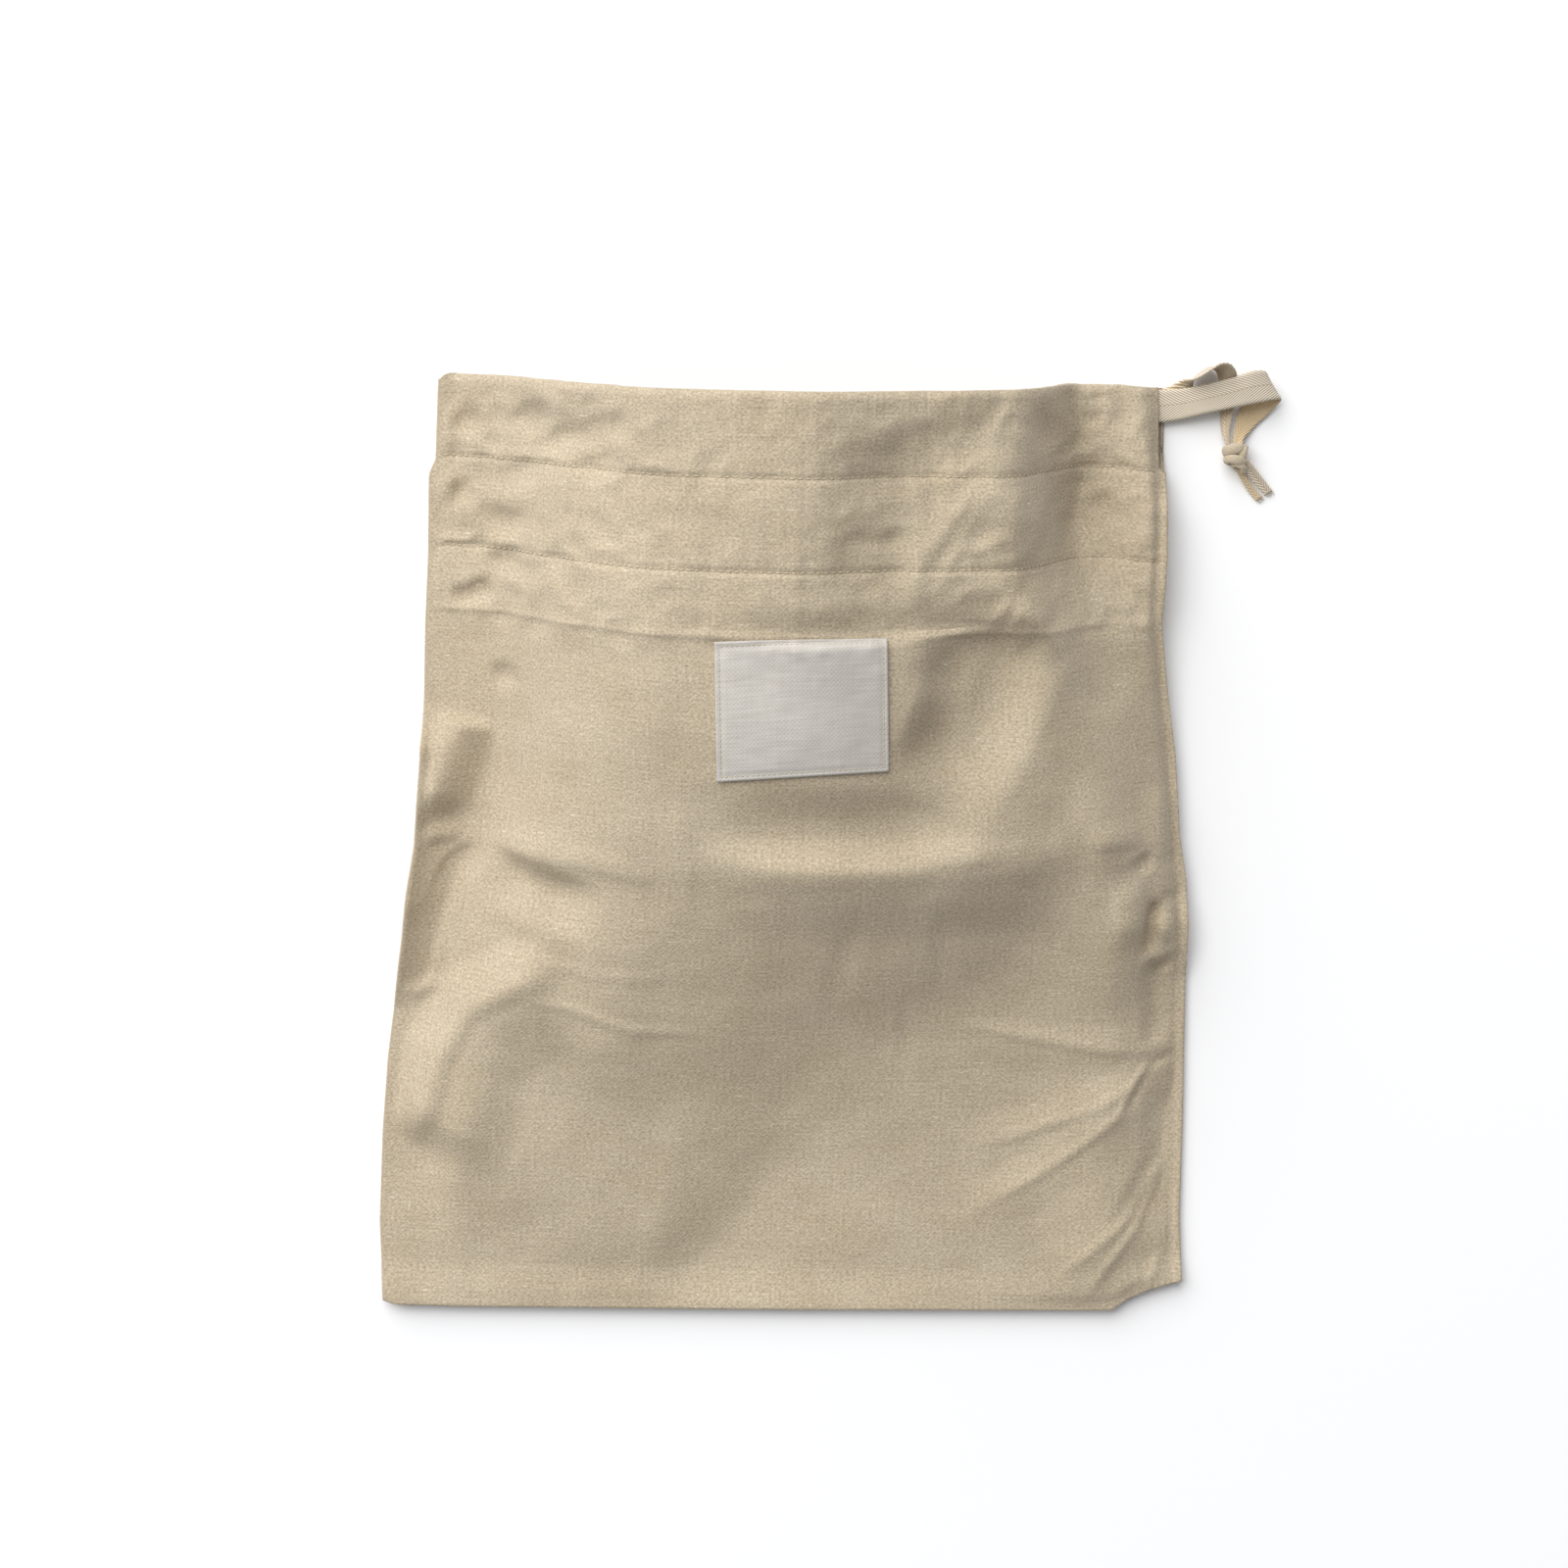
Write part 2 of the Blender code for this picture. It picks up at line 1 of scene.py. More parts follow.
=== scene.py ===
# %% [markdown]
# A drawstring bread bag, photographed from straight above.
# The bag is one length of unbleached plain-weave cotton, folded at its left edge and sewn
# at the bottom and down the right side. A flat twill tape runs through a channel in the
# hem and comes out at a slit in the side seam. This script dresses the imported solids:
# it keeps their places and gives each piece its real surface.
# We start by loading those solids, which stay fixed.

# %% Load the frame
import math

import bpy
import numpy as np
from mathutils import Matrix, Vector, noise


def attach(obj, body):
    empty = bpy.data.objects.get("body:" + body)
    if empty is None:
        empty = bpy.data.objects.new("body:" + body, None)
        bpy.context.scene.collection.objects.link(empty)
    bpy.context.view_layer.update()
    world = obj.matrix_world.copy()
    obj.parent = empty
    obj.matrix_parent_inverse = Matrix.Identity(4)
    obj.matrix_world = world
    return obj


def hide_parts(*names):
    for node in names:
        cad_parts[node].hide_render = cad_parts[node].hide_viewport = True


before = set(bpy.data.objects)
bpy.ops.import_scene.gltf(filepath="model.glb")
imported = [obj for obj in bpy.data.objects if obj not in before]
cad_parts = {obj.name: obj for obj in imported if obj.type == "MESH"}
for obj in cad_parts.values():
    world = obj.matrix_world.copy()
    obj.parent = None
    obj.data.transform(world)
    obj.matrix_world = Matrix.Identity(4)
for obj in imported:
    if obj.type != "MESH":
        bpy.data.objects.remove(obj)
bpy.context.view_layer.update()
MM = 0.001

# %% [markdown]
# The camera comes first, because everything after it is judged through it.
# The photograph looks straight down. One pixel of its 1600 is 0.38 mm on the surface,
# so the whole picture spans 608 mm, and the lens follows from the camera's height.

# %% The camera straight above the bag
PICTURE_WIDTH = 1600 * 0.38 * MM
CAMERA_PLACE = (0.0004, 0.0226, 1.25)
SENSOR_WIDTH = 36.0

camera_data = bpy.data.cameras.new("camera")
camera_data.sensor_width = SENSOR_WIDTH
camera_data.lens = SENSOR_WIDTH * CAMERA_PLACE[2] / PICTURE_WIDTH
camera = bpy.data.objects.new("camera", camera_data)
camera.location = CAMERA_PLACE
bpy.context.scene.collection.objects.link(camera)
bpy.context.scene.camera = camera
bpy.context.scene.view_settings.view_transform = "Standard"
print("lens, mm:", round(camera_data.lens, 2))

# %% [markdown]
# A few small helpers serve every piece. Shapes are worked out as points in millimetres,
# then turned into meshes. Every mesh keeps where each point lies on its own flat cloth,
# in millimetres, as an attribute called "flat": across, along, and which face it is on.
# The materials draw their threads from it, so a weave follows the cloth round each fold.

# %% Helpers for shapes and meshes
def smooth(t):
    """A soft step from 0 to 1."""
    t = np.clip(t, 0.0, 1.0)
    return t * t * (3.0 - 2.0 * t)


def bell(distance, width):
    """A soft bump, 1 at no distance and nearly 0 at twice the width."""
    return np.exp(-(distance / width) ** 2)


def column(table, index):
    """One named column of a table, as an array."""
    return np.array([row[index] for row in table], float)


def make_piece(name, points, faces, finish, flat):
    """A smooth mesh piece from millimetre points, riding on the bag's one body."""
    mesh = bpy.data.meshes.new(name)
    mesh.from_pydata((np.asarray(points, float) * MM).tolist(), [], faces)
    mesh.update()
    mesh.shade_smooth()
    mesh.materials.append(finish)
    attribute = mesh.attributes.new("flat", "FLOAT_VECTOR", "POINT")
    attribute.data.foreach_set("vector", np.asarray(flat, np.float32).ravel())
    made = bpy.data.objects.new(name, mesh)
    bpy.context.scene.collection.objects.link(made)
    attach(made, "root")
    triangles = sum(len(face) - 2 for face in faces)
    print(name, "triangles:", triangles)
    return made


def normals_of(grid):
    """The unit normals of a grid of points, rows along and columns across."""
    across = np.gradient(grid, axis=1)
    along = np.gradient(grid, axis=0)
    normal = np.cross(across, along)
    return normal / np.maximum(np.linalg.norm(normal, axis=2, keepdims=True), 1e-9)


def arc_lengths(grid, axis):
    """How far each point lies from the first along its row or column, on the surface."""
    steps = np.linalg.norm(np.diff(grid, axis=axis), axis=2)
    start = np.zeros_like(np.take(steps, [0], axis=axis))
    return np.concatenate([start, np.cumsum(steps, axis=axis)], axis=axis)


def closed_sheet(grid, thick):
    """Points, faces and flat places of a grid thickened both ways and closed at its rim."""
    count, width = grid.shape[:2]
    normal = normals_of(grid)
    across = arc_lengths(grid, 1)
    across = across - across[:, -1:] / 2
    along = arc_lengths(grid, 0)
    thick = np.broadcast_to(np.asarray(thick, float), (count, width))[:, :, None]
    points = np.concatenate([(grid + normal * thick / 2).reshape(-1, 3),
                             (grid - normal * thick / 2).reshape(-1, 3)])
    upper = np.stack([across, along, np.ones_like(along)], axis=2).reshape(-1, 3)
    lower = np.stack([across, along, -np.ones_like(along)], axis=2).reshape(-1, 3)
    under = count * width
    faces = []
    for i in range(count - 1):
        for j in range(width - 1):
            a = i * width + j
            faces.append((a, a + 1, a + width + 1, a + width))
            faces.append((under + a + width, under + a + width + 1, under + a + 1, under + a))
    rim = list(range(width))
    rim += [i * width + width - 1 for i in range(1, count)]
    rim += [(count - 1) * width + j for j in range(width - 2, -1, -1)]
    rim += [i * width for i in range(count - 2, 0, -1)]
    for a, b in zip(rim, rim[1:] + rim[:1]):
        faces.append((b, a, under + a, under + b))
    return points, faces, np.concatenate([upper, lower])


def bar_faces(first, rings, sides):
    """The faces of a bar closed at both ends, from its first point and its rings."""
    faces = []
    for ring in range(rings - 1):
        for turn in range(sides):
            a = first + ring * sides + turn
            b = first + ring * sides + (turn + 1) % sides
            faces.append((b, a, a + sides, b + sides))
    end = first + (rings - 1) * sides
    faces.append(tuple(range(first, first + sides)))
    faces.append(tuple(reversed(range(end, end + sides))))
    return faces


# %% [markdown]
# Materials are built from nodes. Colours are written as the sRGB hex values that a
# painter would pick, and one function turns them into the linear values Blender needs.
# One more function adds a node with its settings and links, so that each material
# reads as a list of what it is made of.

# %% Helpers for materials
def linear(hex_colour):
    """An sRGB hex colour as linear red, green and blue, with full alpha."""
    parts = [int(hex_colour[i:i + 2], 16) / 255 for i in (1, 3, 5)]
    return tuple(p / 12.92 if p <= 0.04045 else ((p + 0.055) / 1.055) ** 2.4 for p in parts) + (1.0,)


def add(tree, kind, inputs=None, **settings):
    """Add a node. settings are its own; inputs name its sockets, each a value or an output."""
    node = tree.nodes.new("ShaderNode" + kind)
    for name, value in settings.items():
        setattr(node, name, value)
    for name, value in (inputs or {}).items():
        if isinstance(value, bpy.types.NodeSocket):
            tree.links.new(value, node.inputs[name])
        else:
            node.inputs[name].default_value = value
    return node


def start_material(name, shader_values):
    """A new material: its tree, its main shader, and where each point lies on flat cloth."""
    made = bpy.data.materials.new(name)
    made.use_nodes = True
    tree = made.node_tree
    shader = tree.nodes["Principled BSDF"]
    for socket, value in shader_values.items():
        shader.inputs[socket].default_value = value
    flat = add(tree, "Attribute", attribute_name="flat").outputs["Vector"]
    return made, tree, shader, flat


# %% [markdown]
# The bag's cloth is unbleached cotton in plain weave, like a light canvas: each thread
# goes over one and under the next. The threads are spun unevenly, which gives streaks a
# few centimetres long and now and then a thick, pale place, a slub. Real threads are
# about 0.5 mm apart. At 0.38 mm a pixel that would only flicker, so the weave is drawn
# 0.9 mm apart, the finest that shows, with painted shade in its gaps, and a speckle of the
# same size paints into the colour the uneven highlights and shade that single threads catch.
# Unbleached cotton is matt with a little fuzz, which a weak sheen gives at the edges of folds.

# %% Unbleached plain-weave cotton
COTTON = "#CBBDA5"
COTTON_DARK = "#B09F84"
COTTON_PALE = "#DED3BF"
THREAD_GAP = 0.9
STREAK_LENGTH = 26.0
STREAK_WIDTH = 0.8
# Noise sizes in mm: across, along, and between the cloth's two faces.
BETWEEN_FACES = 5.0
BLOTCH_SIZES = (38.0, 30.0, BETWEEN_FACES)
SLUB_SIZES = (7.0, 0.9, 3.0)
SPECKLE_SIZES = (1.26, 0.9, BETWEEN_FACES)
# How far the speckle's painted highlights and shade lighten and darken the cloth, and how dark the
# painted shade in its weave's gaps is.
PAINTED_GLINT_AND_SHADE_RANGE = (0.64, 1.32)
PAINTED_GAP_SHADE = 0.94


def plain_weave(tree, flat, gap):
    """The height of a plain weave, 0 to 1: crossing threads that swap over and under."""
    turned = add(tree, "VectorMath", {0: flat, "Scale": math.pi / gap}, operation="SCALE")
    parts = add(tree, "SeparateXYZ", {0: turned.outputs[0]})
    across = add(tree, "Math", {0: parts.outputs["X"]}, operation="SINE").outputs[0]
    along = add(tree, "Math", {0: parts.outputs["Y"]}, operation="SINE").outputs[0]
    crossing = add(tree, "Math", {0: across, 1: along}, operation="MULTIPLY").outputs[0]
    return add(tree, "MapRange", {0: crossing, 1: -1.0, 2: 1.0}).outputs[0]


def thread_streaks(tree, flat, stretch, detail, roughness=0.6):
    """Uneven spinning: noise drawn out along the threads, stretch being sizes in mm."""
    scaled = add(tree, "VectorMath", {0: flat, 1: [1 / size for size in stretch]},
                 operation="MULTIPLY")
    return add(tree, "TexNoise", {"Vector": scaled.outputs[0], "Scale": 1.0, "Detail": detail,
                                  "Roughness": roughness}).outputs[0]


def crossed_streaks(tree, flat, length, width, share):
    """The streaks of both sets of threads, mixed by a share."""
    weft = thread_streaks(tree, flat, (length, width, BETWEEN_FACES), 3.0)
    warp = thread_streaks(tree, flat, (width, length, BETWEEN_FACES), 3.0)
    return add(tree, "Mix", {0: share, 2: weft, 3: warp}, data_type="FLOAT").outputs[0]


def with_painted_gap_shade(tree, colour, weave, shade):
    """A colour with painted shade in the gaps of its weave: there it darkens to a share of itself."""
    # Painted shade: the colour is darker in the weave's gaps.
    gaps = add(tree, "MapRange", {0: weave, 1: 0.0, 2: 0.6, 3: shade, 4: 1.0}).outputs[0]
    return add(tree, "Mix", {0: 1.0, 6: colour, 7: gaps}, data_type="RGBA",
               blend_type="MULTIPLY").outputs[2]


def surface_of(tree, shader, colour, height, strength, depth):
    """Give the main shader its colour and its bumps, their depth in millimetres."""
    tree.links.new(colour, shader.inputs["Base Color"])
    bump = add(tree, "Bump", {"Height": height, "Strength": strength, "Distance": depth * MM})
    tree.links.new(bump.outputs[0], shader.inputs["Normal"])


def cotton_cloth():
    """The bag's cloth."""
    made, tree, shader, flat = start_material("unbleached plain-weave cotton", {
        "Roughness": 0.88, "IOR": 1.5, "Specular IOR Level": 0.25,
        "Sheen Weight": 0.12, "Sheen Roughness": 0.6})
    threads = crossed_streaks(tree, flat, STREAK_LENGTH, STREAK_WIDTH, 0.42)
    blotch = thread_streaks(tree, flat, BLOTCH_SIZES, 4.0)
    weave = plain_weave(tree, flat, THREAD_GAP)
    tone = add(tree, "Mix", {0: 0.35, 2: threads, 3: blotch}, data_type="FLOAT").outputs[0]
    tone = add(tree, "MapRange", {0: tone, 1: 0.30, 2: 0.70}).outputs[0]
    body = add(tree, "Mix", {0: tone, 6: linear(COTTON_DARK), 7: linear(COTTON)},
               data_type="RGBA").outputs[2]
    slubs = thread_streaks(tree, flat, SLUB_SIZES, 2.0)
    slubs = add(tree, "MapRange", {0: slubs, 1: 0.66, 2: 0.76}).outputs[0]
    pale = add(tree, "Mix", {0: slubs, 6: body, 7: linear(COTTON_PALE)},
               data_type="RGBA").outputs[2]
    woven = with_painted_gap_shade(tree, pale, weave, PAINTED_GAP_SHADE)
    speckle = thread_streaks(tree, flat, SPECKLE_SIZES, 2.0, 0.7)
    # Painted highlights and shade: the speckle lightens and darkens the colour thread by thread.
    painted_glints_and_shade = add(tree, "MapRange", {0: speckle, 1: 0.25, 2: 0.75, 3: PAINTED_GLINT_AND_SHADE_RANGE[0],
                                    4: PAINTED_GLINT_AND_SHADE_RANGE[1]}).outputs[0]
    shaded = add(tree, "Mix", {0: 1.0, 6: woven, 7: painted_glints_and_shade}, data_type="RGBA",
                 blend_type="MULTIPLY").outputs[2]
    height = add(tree, "Mix", {0: 0.75, 2: weave, 3: speckle}, data_type="FLOAT").outputs[0]
    surface_of(tree, shader, shaded, height, 0.5, 0.35)
    return made


cotton = cotton_cloth()
print("cotton: threads", THREAD_GAP, "mm apart, streaks", STREAK_LENGTH, "mm long")

# %% [markdown]
# The drawstring is cotton twill tape, woven in herringbone: the twill lines lean one way
# up to a spine along the middle and the other way past it. The eye reads it as arrows.
# The lines are 1.6 mm apart along a tape 12.7 mm wide, coarse enough to be drawn at their
# real size, with painted shade in their grooves. The tape is paler and creamier than the bag,
# with thicker selvedges. Where it turns over it catches a golden reflection and shade, painted
# on as a second tint, and the third value of each point's flat place says how much of it shows there.

# %% Herringbone twill tape
TAPE = "#EBE1D0"
# The shade colours are painted shade in the twill's grooves and along its spine, where the height is
# low.
TAPE_PAINTED_GROOVE_SHADE = "#B3A083"
TAPE_PAINTED_FOLD_REFLECTION = "#E3CDA9"
TAPE_PAINTED_FOLD_REFLECTION_GROOVES = "#C6AA80"
TWILL_GAP = 1.6
TWILL_LEAN = 1.6
TWILL_WOBBLE_SIZES = (4.0, 4.0, 3.0)
SPINE_SHADE = 0.45


def twill_tape():
    """The tape's herringbone, cream, with painted golden reflection and shade on the faces that show
    where it turns over.
    """
    made, tree, shader, flat = start_material("herringbone cotton tape", {
        "Roughness": 0.8, "IOR": 1.5, "Specular IOR Level": 0.3,
        "Sheen Weight": 0.15, "Sheen Roughness": 0.5})
    parts = add(tree, "SeparateXYZ", {0: flat})
    aside = add(tree, "Math", {0: parts.outputs["X"]}, operation="ABSOLUTE").outputs[0]
    lean = add(tree, "Math", {0: aside, 1: TWILL_LEAN, 2: parts.outputs["Y"]},
               operation="MULTIPLY_ADD").outputs[0]
    wobble = thread_streaks(tree, flat, TWILL_WOBBLE_SIZES, 2.0)
    lean = add(tree, "Math", {0: wobble, 1: 0.5, 2: lean}, operation="MULTIPLY_ADD").outputs[0]
    phase = add(tree, "Math", {0: lean, 1: 2 * math.pi / TWILL_GAP}, operation="MULTIPLY")
    line = add(tree, "Math", {0: phase.outputs[0]}, operation="SINE").outputs[0]
    line = add(tree, "MapRange", {0: line, 1: -1.0, 2: 0.6}).outputs[0]
    spine = add(tree, "MapRange", {0: aside, 1: 0.0, 2: 0.5, 3: SPINE_SHADE, 4: 1.0}).outputs[0]
    height = add(tree, "Math", {0: line, 1: spine}, operation="MULTIPLY").outputs[0]
    # Painted shade: the colour is darker where the twill is low, in its grooves and at the spine.
    front = add(tree, "Mix", {0: height, 6: linear(TAPE_PAINTED_GROOVE_SHADE), 7: linear(TAPE)},
                data_type="RGBA").outputs[2]
    back = add(tree, "Mix", {0: height, 6: linear(TAPE_PAINTED_FOLD_REFLECTION_GROOVES), 7: linear(TAPE_PAINTED_FOLD_REFLECTION)},
               data_type="RGBA").outputs[2]
    # Painted reflection and shade: faces that show where the tape turns over are tinted golden.
    painted_reflection_share = add(tree, "MapRange", {0: parts.outputs["Z"], 1: 1.0, 2: -1.0}).outputs[0]
    colour = add(tree, "Mix", {0: painted_reflection_share, 6: front, 7: back}, data_type="RGBA").outputs[2]
    surface_of(tree, shader, colour, height, 0.8, 0.35)
    return made


tape = twill_tape()

# %% [markdown]
# The drawstring is one flat tape, seen as two strands between the slit and the knot.
# A curve with a flat profile would spin on its way, so each strand is a ribbon between
# two edges, and each row of its table is a pair of points across the tape: x, y, z on
# the side of the mouth, then x, y, z on the other side. The rows follow the packed
# solids. The upper strand runs flat to the right, folds under itself and returns to the
# knot. The lower strand stands up in an arch behind it and passes underneath.

# %% The two strands
STRAND_UPPER = (
    (128.0, 175.2, 3.0, 128.0, 163.0, 3.0),
    (138.0, 175.2, 3.0, 138.0, 162.8, 3.0),
    (146.0, 174.9, 3.2, 146.0, 162.5, 3.1),
    (156.0, 175.6, 4.6, 153.5, 163.4, 3.8),
    (166.0, 177.4, 6.4, 162.5, 165.4, 5.6),
    (174.5, 179.6, 7.6, 171.5, 167.2, 6.9),
    (181.0, 181.7, 8.5, 180.5, 169.0, 7.4),
    (185.4, 181.9, 7.4, 188.6, 170.6, 7.0),
    (186.2, 180.6, 4.6, 192.4, 171.0, 4.8),
    (184.4, 177.6, 2.3, 190.6, 168.6, 2.4),
    (180.6, 173.0, 1.5, 187.0, 164.8, 1.4),
    (177.0, 168.0, 1.4, 183.0, 161.2, 1.3),
    (175.2, 162.4, 1.7, 180.0, 158.0, 2.0),
    (174.4, 158.4, 2.6, 178.4, 156.4, 3.0),
    (173.9, 153.4, 4.6, 177.4, 153.2, 4.6),
)
STRAND_LOWER = (
    (128.0, 175.2, 1.75, 128.0, 163.0, 1.75),
    (138.0, 175.2, 1.75, 138.0, 163.0, 1.75),
    (144.5, 175.0, 1.75, 149.5, 163.8, 1.75),
    (149.6, 176.6, 2.0, 154.4, 167.0, 1.4),
    (154.2, 178.6, 5.4, 158.0, 173.8, 1.1),
    (158.4, 178.4, 9.8, 158.9, 178.9, 0.9),
    (161.9, 180.0, 12.2, 161.6, 181.8, 0.9),
    (165.3, 182.2, 12.8, 165.2, 183.8, 0.9),
    (168.6, 184.0, 12.8, 167.2, 183.0, 0.9),
    (171.8, 183.8, 12.2, 168.2, 181.6, 1.0),
    (174.4, 181.4, 9.2, 169.0, 178.4, 1.1),
    (175.4, 179.0, 4.8, 169.6, 175.0, 1.1),
    (174.9, 173.0, 3.8, 169.5, 170.6, 1.1),
    (174.2, 167.0, 3.6, 169.4, 165.8, 1.2),
    (173.2, 162.0, 3.6, 169.6, 161.4, 1.5),
    (172.6, 158.4, 4.0, 170.0, 158.2, 2.4),
    (173.0, 153.6, 4.6, 171.4, 153.4, 4.0),
)
TAPE_THICK = 0.9
# Towards its edges, as shares of its half width, the tape has a selvedge and a thin rim.
SELVEDGE_FROM = 0.75
SELVEDGE_THICK = 1.05
RIM_FROM = 0.99
RIM_THICK = 0.405
TAPE_COLUMNS = 12
STRAND_STEPS = 150
# How much painted golden fold reflection and shade the upper and the lower face of each stretch of tape
# carry: none at 1, full at -1.
FOLD_REFLECTION_PAINT = {
    "tape_upper": (1.0, -1.0),
    "tape_lower": (0.0, 1.0),
    "tape_end_right": (0.8, -0.8),
    "tape_end_left": (-0.4, -0.8),
}


def smooth_rows(table, steps):
    """Rows read at even steps from a smooth curve through a table's rows."""
    rows = [np.array(row, float) for row in table]
    rows = [2 * rows[0] - rows[1]] + rows + [2 * rows[-1] - rows[-2]]
    spans = len(rows) - 3
    made = []
    for step in range(steps + 1):
        place = step / steps * spans
        i = min(int(place), spans - 1)
        t = place - i
        a, b, c, d = rows[i:i + 4]
        made.append(0.5 * (2 * b + (c - a) * t + (2 * a - 5 * b + 4 * c - d) * t * t
                           + (3 * b - a - 3 * c + d) * t ** 3))
    return np.array(made)


def ribbon(name, table, steps, slot_node):
    """A strand or an end of the tape, and its middle line in metres."""
    rows = smooth_rows(table, steps)
    first = rows[:, None, :3]
    last = rows[:, None, 3:]
    across = np.linspace(0.0, 1.0, TAPE_COLUMNS + 1)[None, :, None]
    grid = first + (last - first) * across
    at_edge = np.abs(across[0, :, 0] - 0.5) * 2
    thick = np.where(at_edge > RIM_FROM, RIM_THICK, TAPE_THICK)
    thick = np.where((at_edge > SELVEDGE_FROM) & (at_edge < RIM_FROM), SELVEDGE_THICK, thick)
    points, faces, flat = closed_sheet(grid, thick[None, :])
    flat[:, 2] = np.where(flat[:, 2] > 0, FOLD_REFLECTION_PAINT[name][0], FOLD_REFLECTION_PAINT[name][1])
    piece = make_piece(name, points, faces, tape, flat)
    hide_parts(slot_node)
    middle = grid[:, TAPE_COLUMNS // 2] * MM
    return piece, middle


upper_strand, upper_middle = ribbon("tape_upper", STRAND_UPPER, STRAND_STEPS, "strand_upper")
lower_strand, lower_middle = ribbon("tape_lower", STRAND_LOWER, STRAND_STEPS, "strand_lower")


def length_of(middle):
    """The length of a line of points."""
    return float(np.linalg.norm(np.diff(middle, axis=0), axis=1).sum())


print("strand lengths, mm:", round(length_of(upper_middle) / MM, 1),
      round(length_of(lower_middle) / MM, 1))

# %% [markdown]
# Past the knot two short ends of the tape lie on the surface. A cut tape frays: the
# threads along it stand out of the cut by a millimetre or two.

# %% The two free ends
TAIL_RIGHT = (
    (180.0, 147.6, 4.6, 177.4, 144.8, 4.2),
    (183.2, 144.0, 3.2, 180.4, 141.4, 2.6),
    (186.6, 139.9, 2.0, 183.7, 137.7, 1.6),
    (189.6, 136.2, 1.1, 186.7, 134.4, 0.9),
)
TAIL_LEFT = (
    (177.2, 144.2, 3.0, 175.6, 143.2, 2.6),
    (179.8, 140.8, 2.0, 177.8, 139.5, 1.8),
    (182.9, 137.0, 1.2, 180.7, 135.3, 1.0),
    (185.7, 133.9, 0.9, 183.4, 132.2, 0.8),
)
TAIL_STEPS = 24
FRAY_COUNT = 9
FRAY_ROOT = 0.5
FRAY_LENGTH = 1.9
FRAY_SPREAD = 0.6
FRAY_FAT = 0.2
FRAY_SIDES = 4
# How uneven the threads are: the shortest as a share, what is added, and how fast their
# length and their lean change from one to the next.
FRAY_SHORTEST = 0.8
FRAY_UNEVEN = 0.4
FRAY_TURNS = (3.7, 2.3)
# Loose threads have no pattern of their own: they take one pale place of the tape's.
FRAY_PLACE = (1.0, -1.4, 0.6)


def frays(name, tables):
    """Loose threads that stand out of the cut ends, each a thin bar that tapers."""
    points = []
    faces = []
    flat = []
    for table in tables:
        near = np.array(table[-2]).reshape(2, 3)
        far = np.array(table[-1]).reshape(2, 3)
        ahead = (far - near).mean(axis=0)
        ahead = ahead / np.linalg.norm(ahead)
        width = far[1] - far[0]
        aside = width / np.linalg.norm(width)
        for k in range(FRAY_COUNT):
            base = far[0] + width * (k + 0.5) / FRAY_COUNT - ahead * FRAY_ROOT
            reach = FRAY_LENGTH * (FRAY_SHORTEST + FRAY_UNEVEN * math.sin(FRAY_TURNS[0] * k))
            tip = base + ahead * reach + aside * FRAY_SPREAD * math.sin(FRAY_TURNS[1] * k)
            rings = ((base, FRAY_FAT), ((base + tip) / 2, FRAY_FAT), (tip, FRAY_FAT / 2))
            faces += bar_faces(len(points), len(rings), FRAY_SIDES)
            for place, fat in rings:
                for turn in range(FRAY_SIDES):
                    angle = 2 * math.pi * turn / FRAY_SIDES
                    spread = aside * math.cos(angle) + np.array([0.0, 0.0, math.sin(angle)])
                    points.append(place + spread * fat)
                    flat.append(FRAY_PLACE)
    return make_piece(name, points, faces, tape, flat)


end_right, end_right_middle = ribbon("tape_end_right", TAIL_RIGHT, TAIL_STEPS, "tail_right")
end_left, end_left_middle = ribbon("tape_end_left", TAIL_LEFT, TAIL_STEPS, "tail_left")
loose_threads = frays("tape_frays", (TAIL_RIGHT, TAIL_LEFT))
print("free ends, mm:", round(length_of(end_right_middle) / MM, 1),
      round(length_of(end_left_middle) / MM, 1))

# %% [markdown]
# The knot is an overhand knot pulled tight in both strands at once. The flat tape bunches
# into thick folds that wrap round each other. Each wrap is made here as a strap with an
# oval section that goes round the knot's middle, with the tape's own twill on it: one
# band above, one below it that narrows to the lower right, and a lobe on the right.

# %% The knot
KNOT_CENTRE = Vector((174.6, 149.0, 4.5))
# Each wrap: its middle x, y, z from the knot's centre, its turn about z and its lean
# about x in degrees, the loop's two radii, and the strap's half width and half thickness.
KNOT_WRAPS = (
    ((-0.3, 2.5, 0.1), 6.0, 84.0, (3.5, 2.9), (2.1, 1.3)),
    ((0.1, -1.6, 0.2), -14.0, 86.0, (3.4, 2.9), (1.9, 1.3)),
    ((1.6, -3.9, -0.3), -32.0, 80.0, (2.3, 2.5), (1.3, 1.2)),
    ((3.0, 0.9, -0.2), 74.0, 82.0, (3.0, 2.7), (1.5, 1.1)),
)
WRAP_STEPS = 36
WRAP_SIDES = 14
# The tape is bunched in the knot, so its pattern is squeezed across, and half in shade.
WRAP_SQUEEZE = 2.2
WRAP_TINT = 0.3


